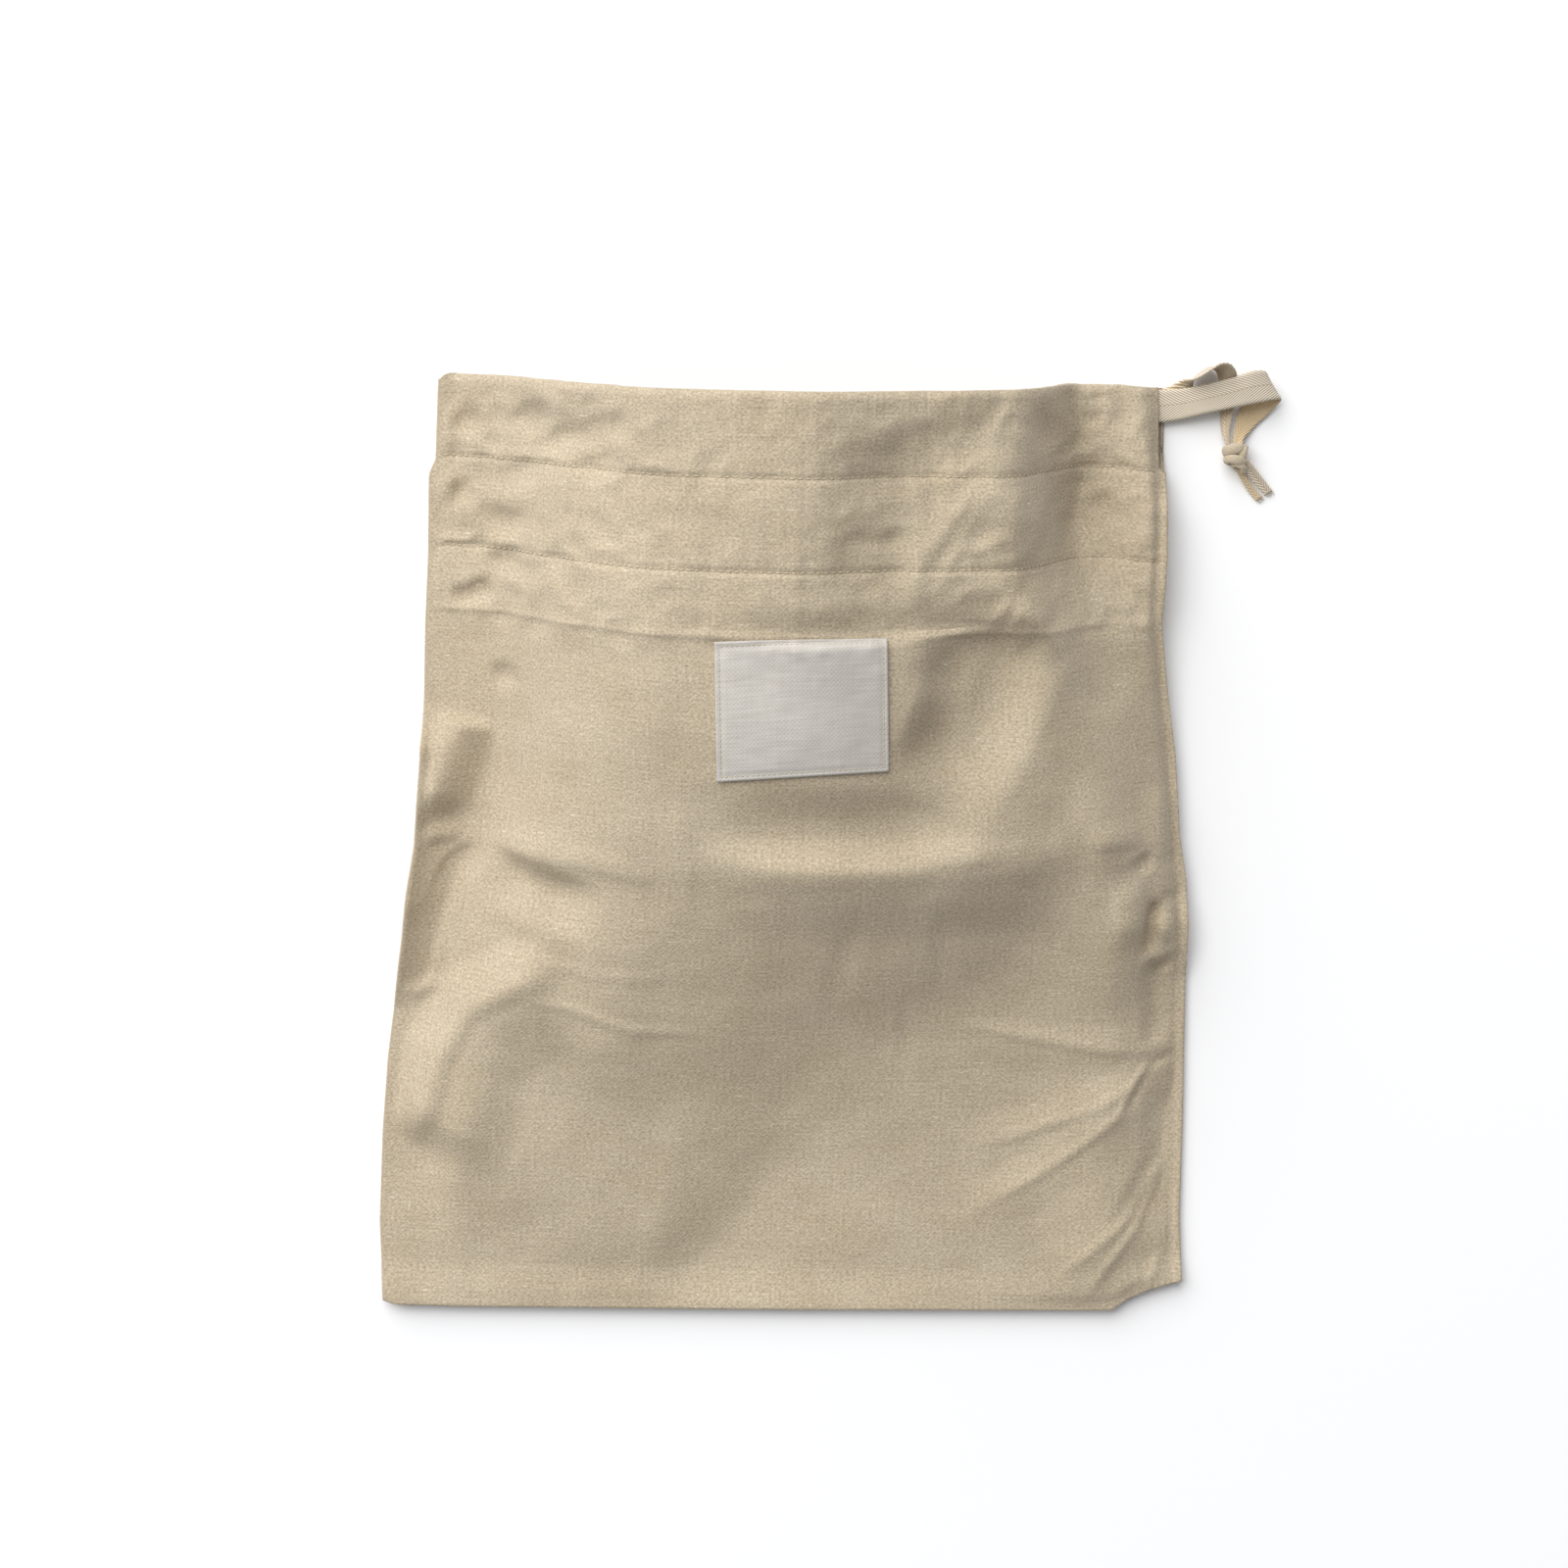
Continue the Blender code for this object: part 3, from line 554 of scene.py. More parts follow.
def knot():
    """The knot's wraps as closed straps, joined in one piece."""
    points = []
    faces = []
    flat = []
    for middle, turn, lean, (radius_across, radius_up), (half_width, half_thick) in KNOT_WRAPS:
        leaned = Matrix.Rotation(math.radians(lean), 3, "X")
        place = Matrix.Rotation(math.radians(turn), 3, "Z") @ leaned
        first = len(points)
        for i in range(WRAP_STEPS):
            angle = 2 * math.pi * i / WRAP_STEPS
            out = Vector((math.cos(angle), math.sin(angle), 0.0))
            on_loop = Vector((out.x * radius_across, out.y * radius_up, 0.0))
            for j in range(WRAP_SIDES):
                around = 2 * math.pi * j / WRAP_SIDES
                aside = half_width * math.sin(around)
                proud = half_thick * math.cos(around)
                local = on_loop + out * proud + Vector((0.0, 0.0, aside))
                points.append(KNOT_CENTRE + Vector(middle) + place @ local)
                flat.append((aside * WRAP_SQUEEZE, angle * radius_across, WRAP_TINT))
                a = first + i * WRAP_SIDES + j
                b = first + i * WRAP_SIDES + (j + 1) % WRAP_SIDES
                c = first + ((i + 1) % WRAP_STEPS) * WRAP_SIDES + (j + 1) % WRAP_SIDES
                d = first + ((i + 1) % WRAP_STEPS) * WRAP_SIDES + j
                faces.append((a, d, c, b))
    piece = make_piece("knot_wraps", points, faces, tape, flat)
    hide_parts("knot")
    return piece


knot_wraps = knot()

# %% [markdown]
# Now the bag's cloth. It lies on its back, with the front panel standing in a long bulge.
# A cloth simulation would find its own folds, and the ones that matter here are in known
# places, so the cloth is laid out as given: a function gives the height of the front panel at
# any place, from a table of sections for the bulge and a list of folds.
# First come the outlines, as flat as on a table: the side edges, then the two ends.

# %% The bag's outline and its bulge
CLOTH_THICK = 1.0
INSIDE_GAP = 0.8
EDGE_RADIUS = (CLOTH_THICK + INSIDE_GAP) / 2
BACK_LEVEL = CLOTH_THICK / 2
FRONT_LEVEL = BACK_LEVEL + 2 * EDGE_RADIUS
DRAW_BACK = 0.196
BACK_MOUTH_DIP = 8.0
CROWN = 77.0
BOTTOM_Y = -181.5
MOUTH_Y = 181.5
SLIT_FOOT_Y = 148.4
SLIT_FRONT_X = 144.6

# y, left edge x, right edge x
SIDES = (
    (BOTTOM_Y, -154.8, 154.2),
    (-155.0, -156.2, 153.5),
    (-116.0, -155.1, 154.8),
    (-86.0, -153.1, 155.2),
    (-57.0, -149.7, 155.8),
    (-37.0, -147.0, 156.2),
    (-18.0, -145.0, 155.7),
    (0.0, -142.2, 153.2),
    (33.0, -139.8, 151.6),
    (61.0, -139.0, 148.2),
    (87.0, -138.6, 145.9),
    (114.0, -137.5, 147.6),
    (146.0, -137.2, 147.8),
    (152.0, -134.6, 147.8),
    (MOUTH_Y, -133.6, 148.4),
)
# x, bottom edge y, mouth edge y
ENDS = (
    (-156.0, -170.8, 175.0),
    (-154.3, -176.4, 176.0),
    (-150.0, -178.0, 177.0),
    (-133.6, -178.4, 177.4),
    (-132.6, -178.5, 179.4),
    (-131.2, -178.5, 180.8),
    (-129.0, -178.6, 181.5),
    (0.0, -180.0, 180.0),
    (127.0, -180.3, 177.6),
    (133.0, -175.9, 177.2),
    (142.0, -172.2, 176.2),
    (153.0, -169.4, 175.2),
    (156.2, -167.4, 175.0),
)
# A row for each section: y, then x and height at the left foot, left flank, left
# shoulder, ridge, right shoulder, right flank, right foot and the strip by the seam.
BULGE = (
    (BOTTOM_Y, (-140, 0), (-118, 0), (-58, 0), (-40, 0), (45, 0), (95, 0), (118, 0), (140, 0)),
    (-168.0, (-142, 0.5), (-122, 2), (-58, 2.4), (-36, 0.5), (45, 1.5), (95, 4), (118, 6.5), (141, 2)),
    (-150.0, (-142, 1), (-124, 3.5), (-52, 6.5), (-19, 1), (45, 4), (95, 7), (118, 9.5), (142, 3.5)),
    (-120.0, (-141, 1), (-122, 8), (-46, 11.5), (0, 5), (45, 8), (95, 9), (120, 11), (143, 4.5)),
    (-97.0, (-139, 1.5), (-114, 9), (-46, 15.5), (5, 11), (45, 12), (95, 11), (122, 12), (144, 5)),
    (-70.0, (-134, 2), (-106, 12), (-56, 25), (4, 22), (45, 19), (95, 15), (123, 14), (145, 6)),
    (-35.0, (-130, 3), (-100, 19), (-55, 35), (5, 39), (50, 35.5), (100, 24), (123, 25), (146, 9)),
    (-8.0, (-123, 3), (-94, 25), (-51, 42), (5, 53), (52, 49), (98, 35), (121, 30), (145, 12)),
    (4.0, (-119, 2.5), (-90, 28), (-48, 46.5), (5, 59), (52, 54), (97, 41), (120, 32), (144, 12)),
    (22.0, (-113, 3.5), (-86, 30), (-44, 52.5), (5, 62.5), (52, 56), (97, 43), (120, 32), (143, 11)),
    (55.0, (-112, 6), (-82, 36), (-42, 62), (5, 70), (52, 60), (93, 48), (119, 30), (142, 8)),
    (78.0, (-114, 6), (-82, 38), (-42, 65), (5, 73), (52, 62), (91, 51), (118, 27), (142, 6)),
    (96.0, (-115, 6), (-82, 40), (-42, 67), (5, 75), (51, 62.5), (89, 52), (118, 18), (140, 5)),
    (114.0, (-116, 6), (-81, 41), (-42, 68), (5, 76), (49, 63.5), (86, 52.5), (116, 7.5), (138, 5)),
    (130.0, (-116, 6), (-80, 41), (-42, 68), (5, 77), (48, 64), (85, 52.5), (116, 6.5), (138, 5.5)),
    (MOUTH_Y, (-116, 6), (-80, 42.5), (-42, 69), (5, 76.5), (50, 63.5), (87, 47), (117, 8.5), (139, 5)),
)
BULGE_POINTS = 8
# The section ends just outside the cloth's edges, and its last stretch has a least width.
BULGE_MARGIN = 1.0
LEAST_STRIP = 4.0


def curve_between(t, gap, first, last, slope_first, slope_last):
    """A smooth curve from one value to the next with given slopes, at a share of the gap."""
    return (first * (1 + 2 * t) * (1 - t) ** 2 + last * t * t * (3 - 2 * t)
            + gap * (slope_first * t * (1 - t) ** 2 - slope_last * t * t * (1 - t)))


def table_curve(place, places, values):
    """A smooth curve through a table's values, read at each place."""
    places = np.asarray(places, float)
    values = np.asarray(values, float)
    slopes = np.gradient(values, places)
    i = np.clip(np.searchsorted(places, place) - 1, 0, len(places) - 2)
    gap = places[i + 1] - places[i]
    t = np.clip((place - places[i]) / gap, 0.0, 1.0)
    return curve_between(t, gap, values[i], values[i + 1], slopes[i], slopes[i + 1])


def side_x(y, index):
    """The left (index 1) or right (index 2) edge at y."""
    return np.interp(y, column(SIDES, 0), column(SIDES, index))


def end_y(x, index):
    """The bottom (index 1) or mouth (index 2) edge at x."""
    return np.interp(x, column(ENDS, 0), column(ENDS, index))


def bulge_height(x, y):
    """The bulge's height: a smooth monotone curve through each section's points."""
    rows = column(BULGE, 0)
    knots = []
    heights = []
    for index in range(1, BULGE_POINTS + 1):
        knots.append(table_curve(y, rows, [row[index][0] for row in BULGE]))
        heights.append(table_curve(y, rows, [row[index][1] for row in BULGE]))
    right = np.maximum(side_x(y, 2), knots[-1] + LEAST_STRIP)
    knots = [side_x(y, 1) - BULGE_MARGIN] + knots + [right + BULGE_MARGIN]
    heights = [np.zeros_like(x)] + heights + [np.zeros_like(x)]
    steps = [knots[i + 1] - knots[i] for i in range(BULGE_POINTS + 1)]
    rises = [(heights[i + 1] - heights[i]) / steps[i] for i in range(BULGE_POINTS + 1)]
    tangents = [np.zeros_like(x)]
    for i in range(BULGE_POINTS):
        product = rises[i] * rises[i + 1]
        total = rises[i] + rises[i + 1]
        safe = np.where(np.abs(total) < 1e-9, 1.0, total)
        tangents.append(np.where(product > 0, 2.0 * product / safe, 0.0))
    tangents.append(np.zeros_like(x))
    height = np.zeros_like(x)
    for i in range(BULGE_POINTS + 1):
        t = np.clip((x - knots[i]) / steps[i], 0.0, 1.0)
        value = curve_between(t, steps[i], heights[i], heights[i + 1], tangents[i], tangents[i + 1])
        height = np.where((x >= knots[i]) & (x <= knots[i + 1]), value, height)
    return height


RIDGE_X = 5.0
ridge_y = np.array([150.0, 0.0, -90.0])
ridge_heights = bulge_height(np.full_like(ridge_y, RIDGE_X), ridge_y)
print("bulge at the ridge, mm:", np.round(ridge_heights).astype(int).tolist())

# %% [markdown]
# Folds and creases are soft ridges and troughs along short paths. Each has a height,
# which is below zero for a trough, a reach on the left and on the right of its path, and
# a share of each end over which it dies away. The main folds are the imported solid's too.

# %% The main folds
# height, reach on the left, reach on the right, share of each end, path
FOLDS = {
    "pressed half fold": (3.6, 16.0, 28.0, 0.45, 0.2, ((-46, -4), (5, -2), (70, -2), (114, -3))),
    "hollow under the label": (-5.5, 22.0, 14.0, 0.4, 0.3, ((-40, 18), (0, 15), (46, 14), (84, 18))),
    "hollow beside the label": (-11.0, 28.0, 24.0, 0.25, 0.3,
        ((85, 99), (79, 78), (71, 58), (61, 40), (53, 24))),
    "left pleat": (7.0, 15.0, 12.0, 0.08, 0.3, ((-124, 50), (-128, 32), (-136, 10))),
    "left trough below the half fold": (-5.5, 13.0, 16.0, 0.3, 0.4,
        ((-114, -6), (-96, -13), (-66, -20))),
    "lower left ridge": (9.0, 38.0, 16.0, 0.2, 0.2,
        ((-82, -42), (-102, -49), (-121, -60), (-132, -79), (-137, -102), (-145, -118))),
    "right crease, high": (1.6, 9.0, 14.0, 0.4, 0.2, ((58, -66), (100, -74), (142, -76))),
    "right crease, middle": (1.4, 10.0, 16.0, 0.4, 0.15,
        ((60, -116), (102, -105), (131, -93), (144, -80))),
    "right crease, low": (1.4, 10.0, 16.0, 0.4, 0.15,
        ((60, -148), (100, -123), (128, -102), (138, -88))),
    "corner crease": (1.0, 12.0, 14.0, 0.3, 0.3, ((148, -118), (133, -147), (104, -168))),
    "right valley": (-1.0, 10.0, 10.0, 0.3, 0.3, ((134, 0), (137, -30), (142, -70))),
    "trough across the right shoulder": (-3.4, 20.0, 26.0, 0.2, 0.3,
        ((58, 156), (44, 138), (33, 116), (22, 92))),
    "right swell by the seam": (1.6, 13.0, 15.0, 0.25, 0.3, ((138, 172), (138, 128), (136, 100))),
    "light by the seam, below": (1.8, 11.0, 9.0, 0.3, 0.4, ((143, 26), (145, 8), (147, -6))),
    "slope right of the hollow": (-2.0, 16.0, 16.0, 0.3, 0.3, ((134, 78), (122, 68), (114, 54))),
}
print("main folds:", len(FOLDS))

# %% [markdown]
# The finer creases are soft forms that a solid 1 mm thick doesn't carry: the crisp top of
# the half fold, the pressed line down the middle from when the bag lay folded, the
# wrinkles that fan out from the right edge and the corner, and the dimples of the hem.

# %% The finer creases
# height, reach on the left, reach on the right, share of each end, path
CREASES = {
    "crisp half fold, left": (1.15, 9.0, 5.0, 0.2, 0.35,
        ((-121, 4), (-101, 2), (-73, -1), (-54, -4), (-36, -4))),
    "crisp half fold, middle": (0.45, 9.0, 7.0, 0.3, 0.3,
        ((-45, -4), (-7, -3), (19, -1), (37, 0), (74, -1))),
    "crisp half fold, right": (0.5, 8.0, 7.0, 0.3, 0.3, ((55, 0), (74, -2), (100, -3))),
    "trough below it, left": (-2.0, 6.0, 10.0, 0.3, 0.4, ((-114, -3), (-92, -9), (-66, -14))),
    "pressed line down the middle": (0.28, 3.0, 3.0, 0.15, 0.1, ((5, 164), (5, 120), (5, 80))),
    "pressed line below the label": (0.28, 3.0, 3.0, 0.1, 0.3, ((5, 30), (5, 12), (5, -8))),
    "old press line, left": (1.0, 7.0, 12.0, 0.25, 0.3, ((-40, 30), (-38, 12), (-35, -30))),
    "old press line, low": (-0.5, 5.0, 5.0, 0.3, 0.3, ((48, -46), (47, -66), (47, -88))),
    "left pucker": (2.2, 5.0, 6.0, 0.3, 0.4, ((-141, 4), (-132, 5), (-122, 4))),
    "left strip": (-3.0, 9.0, 5.0, 0.2, 0.15, ((-114, 2), (-128, -8), (-138, -31), (-146, -60))),
    "left edge pucker": (2.0, 5.0, 5.0, 0.3, 0.3, ((-150, -53), (-141, -56), (-130, -52))),
    "boundary of the lower left": (1.6, 7.0, 6.0, 0.25, 0.2,
        ((-82, -43), (-102, -50), (-121, -61), (-131, -80), (-137, -102), (-145, -118))),
    "thin crease, lower": (0.8, 3.0, 3.0, 0.3, 0.3, ((-108, -53), (-82, -58), (-57, -66), (-22, -67))),
    "thin crease, upper": (0.4, 3.5, 3.5, 0.3, 0.3, ((-104, -39), (-74, -44), (-52, -45), (-32, -41))),
    "right wrinkle 1": (0.9, 2.6, 3.6, 0.35, 0.1,
        ((56, -62), (78, -67), (101, -72), (120, -76), (138, -78), (152, -74))),
    "right wrinkle 2": (0.9, 2.6, 3.6, 0.4, 0.1,
        ((64, -116), (83, -112), (103, -105), (120, -99), (132, -92), (145, -80))),
    "right wrinkle 3": (1.0, 2.6, 3.6, 0.4, 0.1,
        ((65, -145), (85, -133), (101, -123), (115, -113), (129, -102), (136, -89), (150, -80))),
    "corner wrinkle 4": (0.9, 2.6, 3.4, 0.15, 0.3,
        ((149, -120), (141, -129), (133, -143), (124, -151), (111, -162), (103, -170))),
    "corner wrinkle 5": (0.9, 2.4, 3.0, 0.15, 0.2,
        ((149, -120), (143, -131), (136, -147), (126, -160), (115, -176))),
    "corner wrinkle 6": (0.8, 2.4, 2.4, 0.2, 0.3, ((150, -121), (152, -136), (153, -150))),
    "corner wrinkle 7": (0.8, 2.4, 2.4, 0.2, 0.2, ((145, -157), (141, -173))),
    "dent in the half fold": (-3.0, 4.5, 6.0, 0.35, 0.35, ((131, -7), (136, -4), (142, -1))),
    "valley, upper": (-4.0, 4.5, 5.5, 0.2, 0.2, ((143, -18), (139.5, -30), (139, -42))),
    "valley, branch": (-3.0, 4.5, 4.5, 0.2, 0.3, ((138, -44), (144, -46), (152, -42))),
    "valley, lower": (-4.5, 12.0, 8.0, 0.2, 0.4, ((142, -42), (143, -58), (146, -80))),
    "dome by the seam": (3.2, 8.0, 8.0, 0.5, 0.5, ((142, -32), (147, -30), (152, -30))),
    "right edge pucker 1": (-1.5, 3.0, 3.0, 0.4, 0.2, ((143, -3), (148, -4), (153, -5))),
    "right edge pucker 2": (-1.5, 3.0, 3.0, 0.4, 0.2, ((144, -18), (149, -19), (154, -19))),
    "overlap at the seam": (-1.6, 1.8, 3.0, 0.2, 0.1,
        ((130, -103), (137, -90), (143, -83), (151, -80))),
    "fan below the label 1": (-0.9, 8.0, 8.0, 0.3, 0.4, ((30, -10), (22, -40), (18, -62))),
    "fan below the label 2": (-0.8, 7.0, 7.0, 0.3, 0.4, ((62, -10), (60, -34), (64, -52))),
    "shade above the hem's edge": (-3.4, 14.0, 4.5, 0.25, 0.25, ((-16, 89), (36, 90), (86, 95))),
    "fold from the label's corner": (-3.0, 14.0, 10.0, 0.3, 0.3, ((62, 92), (58, 66), (50, 36))),
    "shade right of the label": (-3.6, 16.0, 14.0, 0.3, 0.4, ((70, 94), (60, 80), (54, 62))),
    "dome at the half fold's end": (1.8, 10.0, 5.0, 0.4, 0.4, ((112, 8), (126, 7), (141, 5))),
    "lit plateau of the channel": (4.0, 20.0, 16.0, 0.4, 0.4, ((66, 152), (84, 132), (92, 108))),
    "lit rise above the half fold": (1.6, 18.0, 8.0, 0.4, 0.4, ((30, 10), (66, 8), (98, 8))),
    "swell above the half fold's end": (3.0, 14.0, 12.0, 0.4, 0.4, ((110, 34), (122, 8), (130, -12))),
    "lit band at the bulge's corner": (3.0, 14.0, 12.0, 0.4, 0.4, ((86, 104), (98, 92), (106, 74))),
    "swell below the half fold's end": (4.0, 7.0, 12.0, 0.4, 0.4, ((132, -4), (134, -20), (134, -38))),
    "bright dent right of the channel": (-3.0, 16.0, 12.0, 0.4, 0.4,
        ((108, 112), (112, 126), (116, 148))),
    "corner shade": (-3.0, 18.0, 10.0, 0.3, 0.3, ((148, -84), (146, -122), (130, -152))),
    "hem dimple 1": (-3.6, 7.0, 9.0, 0.4, 0.4, ((-105, 167), (-94, 167), (-84, 170))),
    "hem dimple 2": (-1.8, 5.0, 7.0, 0.4, 0.4, ((-96, 158), (-84, 160), (-66, 164))),
    "hem dimple 3": (-2.2, 6.0, 8.0, 0.4, 0.4, ((-76, 164), (-64, 166), (-52, 168))),
    "hem dimple 4": (-3.0, 8.0, 9.0, 0.4, 0.4, ((-129, 166), (-121, 164), (-113, 164))),
    "hem dimple 5": (-3.0, 6.0, 8.0, 0.4, 0.4, ((-107, 145), (-98, 146), (-89, 149))),
    "hem dimple 6": (-3.0, 6.0, 8.0, 0.4, 0.4, ((-80, 148), (-69, 150), (-57, 154))),
    "sag in the hem, left": (-4.0, 20.0, 14.0, 0.35, 0.35, ((-116, 160), (-88, 158), (-52, 161))),
    "left dimple 1": (-3.2, 7.0, 7.0, 0.4, 0.4, ((-130, 136), (-124, 136), (-118, 138))),
    "left dimple 2": (-3.8, 7.0, 9.0, 0.4, 0.4, ((-117, 129), (-106, 126), (-95, 124))),
    "left dimple 3": (-3.4, 7.0, 8.0, 0.4, 0.4, ((-117, 109), (-107, 110), (-96, 112))),
    "left dimple 4": (-3.2, 6.0, 6.0, 0.4, 0.4, ((-130, 94), (-120, 97), (-110, 101))),
    "left dimple 5": (-2.6, 7.0, 7.0, 0.4, 0.4, ((-113, 63), (-107, 66), (-101, 70))),
    "crown wrinkle": (-3.4, 16.0, 13.0, 0.25, 0.25, ((12, 144), (46, 153), (84, 165))),
    "channel wrinkle": (-1.3, 4.0, 4.0, 0.3, 0.3, ((22, 128), (34, 124), (46, 125))),
    "flank wrinkle 1": (-1.0, 5.0, 5.0, 0.3, 0.3, ((88, 98), (96, 118), (108, 146))),
    "flank wrinkle 2": (-1.0, 4.0, 5.0, 0.3, 0.3, ((104, 112), (112, 130), (124, 156))),
    "flank wrinkle 3": (-1.6, 5.0, 5.0, 0.3, 0.3, ((96, 176), (98, 164), (98, 150))),
    "flank wrinkle 4": (-1.2, 4.0, 4.0, 0.3, 0.3, ((110, 178), (112, 168), (118, 158))),
    "below the hem, right": (-0.8, 5.0, 6.0, 0.3, 0.3, ((96, 92), (112, 100), (124, 104))),
    "below the hem, far right": (-0.6, 5.0, 5.0, 0.3, 0.3, ((118, 90), (130, 88), (142, 92))),
}


def fold_height(x, y, fold):
    """One fold's height: its depth, dying away on both sides of its path and at its ends."""
    height, reach_left, reach_right, fade_start, fade_end, path = fold
    lengths = [math.dist(path[i], path[i + 1]) for i in range(len(path) - 1)]
    total = sum(lengths)
    nearest = np.full_like(x, 1e9)
    side = np.zeros_like(x)
    along = np.zeros_like(x)
    before = 0.0
    for (ax, ay), (bx, by), length in zip(path, path[1:], lengths):
        ux = (bx - ax) / length
        uy = (by - ay) / length
        s = np.clip((x - ax) * ux + (y - ay) * uy, 0.0, length)
        away = np.hypot(x - ax - s * ux, y - ay - s * uy)
        closer = away < nearest
        nearest = np.where(closer, away, nearest)
        side = np.where(closer, ux * (y - ay) - uy * (x - ax), side)
        along = np.where(closer, (before + s) / total, along)
        before += length
    reach = np.where(side > 0, reach_left, reach_right)
    across = np.clip(1.0 - (nearest / reach) ** 2, 0.0, 1.0) ** 2
    return height * across * smooth(along / fade_start) * smooth((1.0 - along) / fade_end)


print("finer creases:", len(CREASES))

# %% [markdown]
# The mouth has a deep hem, sewn with two rows that form the channel for the tape. A row
# of stitches pulls the cloth down into a shallow ditch and puckers it on both sides,
# because the thread is tighter than the cloth. The hem's lower edge, inside, prints
# through as a faint ridge. The mouth's edge rounds off over its last millimetres. The
# side seam runs a few millimetres in from the right edge. These lie at fixed distances
# from the mouth and the side, so they are worked out from those distances. Between them
# cloth is never quite flat: a little noise in three sizes stands for the soft waves and
# crumples that packing leaves.

# %% The hem, the seam and the crumpled ground
STITCH_ROWS = (31.5, 66.0)
HEM_DEPTH = 90.0
HEM_STRAIGHT_X = -127.0
HEM_RIDGE = 0.5
HEM_RIDGE_WIDTH = 1.3
HEM_STEP = 0.45
HEM_STEP_WIDTH = 2.0
DITCH_DEPTH = 0.75
DITCH_WIDTH = 1.2
PUCKER_HEIGHT = 1.1
PUCKER_LENGTH = 7.5
PUCKER_STRETCH = 0.35
PUCKER_REACH = 7.0
MOUTH_DROP = 1.3
MOUTH_ROUND = 3.0
SEAM_INSET = 3.9
SEAM_DEPTH = 0.66
SEAM_WIDTH = 1.1
SEAM_FADE = 3.0
RELIEF_INSET = 7.0
LOWEST = -0.2
SLIT_LIFT = 2.1
SLIT_LIFT_X = (108.0, 126.0)
SLIT_LIFT_Y = (128.0, 150.0)
SLIT_LIFT_INSET = 4.0
# Each size of wave: its length and its height, in millimetres.
WAVE_SIZES = ((34.0, 0.9), (13.0, 0.35), (5.0, 0.12))
# The hem and the channel are more crumpled than the rest, most of all at the two sides.
HEM_CRUMPLE = 3.0
HEM_CRUMPLE_SIZES = (17.0, 8.0)
HEM_CRUMPLE_FADE = 14.0
HEM_CRUMPLE_LEVEL = 0.35
CALM_SHARE = 0.45
CALM_WIDTH = 30.0
CALM_FADE = 60.0
# Each use of the noise reads another layer of it.
WAVE_LAYER = 7.3
CRUMPLE_LAYERS = (31.0, 47.0)
PUCKER_LAYER = 3.0


def noise_at(x, y, size, layer):
    """Smooth noise from about -0.6 to 0.6 with features of one size, in millimetres."""
    places = zip((x.ravel() / size).tolist(), (y.ravel() / size).tolist())
    return np.array([noise.noise((a, b, layer)) for a, b in places]).reshape(x.shape)


def crumple(x, y):
    """Soft waves in several sizes, each a length and a height in millimetres."""
    total = np.zeros_like(x)
    for layer, (length, height) in enumerate(WAVE_SIZES):
        total += height * noise_at(x, y, length, WAVE_LAYER * layer)
    in_hem = smooth((y - end_y(x, 2) + HEM_DEPTH + HEM_CRUMPLE_FADE) / HEM_CRUMPLE_FADE)
    aside = smooth((np.abs(x - RIDGE_X) - CALM_WIDTH) / CALM_FADE)
    aside = CALM_SHARE + (1.0 - CALM_SHARE) * aside
    folds = noise_at(x, y, HEM_CRUMPLE_SIZES[0], CRUMPLE_LAYERS[0])
    folds = folds + 0.5 * noise_at(y, x, HEM_CRUMPLE_SIZES[1], CRUMPLE_LAYERS[1])
    return total + HEM_CRUMPLE * in_hem * aside * (HEM_CRUMPLE_LEVEL - np.abs(folds))


def hem_top(x):
    """Where the hem is measured from: the mouth's edge, without its rounded left corner."""
    return end_y(np.maximum(x, HEM_STRAIGHT_X), 2)


def hem_relief(x, y):
    """Ditches, puckers and the hem's edge, from how far each place is from the mouth."""
    from_mouth = hem_top(x) - y
    from_hem = from_mouth - HEM_DEPTH
    relief = HEM_RIDGE * bell(from_hem, HEM_RIDGE_WIDTH) - HEM_STEP * smooth(from_hem / HEM_STEP_WIDTH)
    from_edge = end_y(x, 2) - y
    relief = relief - MOUTH_DROP * np.clip(1.0 - from_edge / MOUTH_ROUND, 0.0, 1.0) ** 2
    for index, row in enumerate(STITCH_ROWS):
        away = from_mouth - row
        relief = relief - DITCH_DEPTH * bell(away, DITCH_WIDTH)
        wave = noise_at(x, y * PUCKER_STRETCH, PUCKER_LENGTH, PUCKER_LAYER + index)
        relief = relief + PUCKER_HEIGHT * wave * np.exp(-np.abs(away) / PUCKER_REACH)
    return relief


def front_height(x, y):
    """How high the front panel stands above its flat level."""
    relief = bulge_height(x, y)
    for fold in list(FOLDS.values()) + list(CREASES.values()):
        relief = relief + fold_height(x, y, fold)
    from_side = np.minimum(x - side_x(y, 1), side_x(y, 2) - x)
    inset = np.minimum(from_side, y - end_y(x, 1))
    relief = relief + crumple(x, y) + hem_relief(x, y)
    relief = np.maximum(relief, LOWEST) * smooth(inset / RELIEF_INSET)
    lift_x = (x - SLIT_LIFT_X[0]) / (SLIT_LIFT_X[1] - SLIT_LIFT_X[0])
    lift_y = (y - SLIT_LIFT_Y[0]) / (SLIT_LIFT_Y[1] - SLIT_LIFT_Y[0])
    closed_edge = np.where(y > SLIT_FOOT_Y, 1.0, smooth(inset / SLIT_LIFT_INSET))
    return relief + SLIT_LIFT * smooth(lift_x) * smooth(lift_y) * closed_edge


beside_ridge = front_height(np.array([RIDGE_X]), np.array([0.0]))
print("front panel's height above the half fold, mm:", round(float(beside_ridge[0]), 1))

# %% [markdown]
# The closed edges don't lie on the surface all the way. Cloth that was folded there curls
# up a little, both panels together, most of all beside the half fold and below the slit.

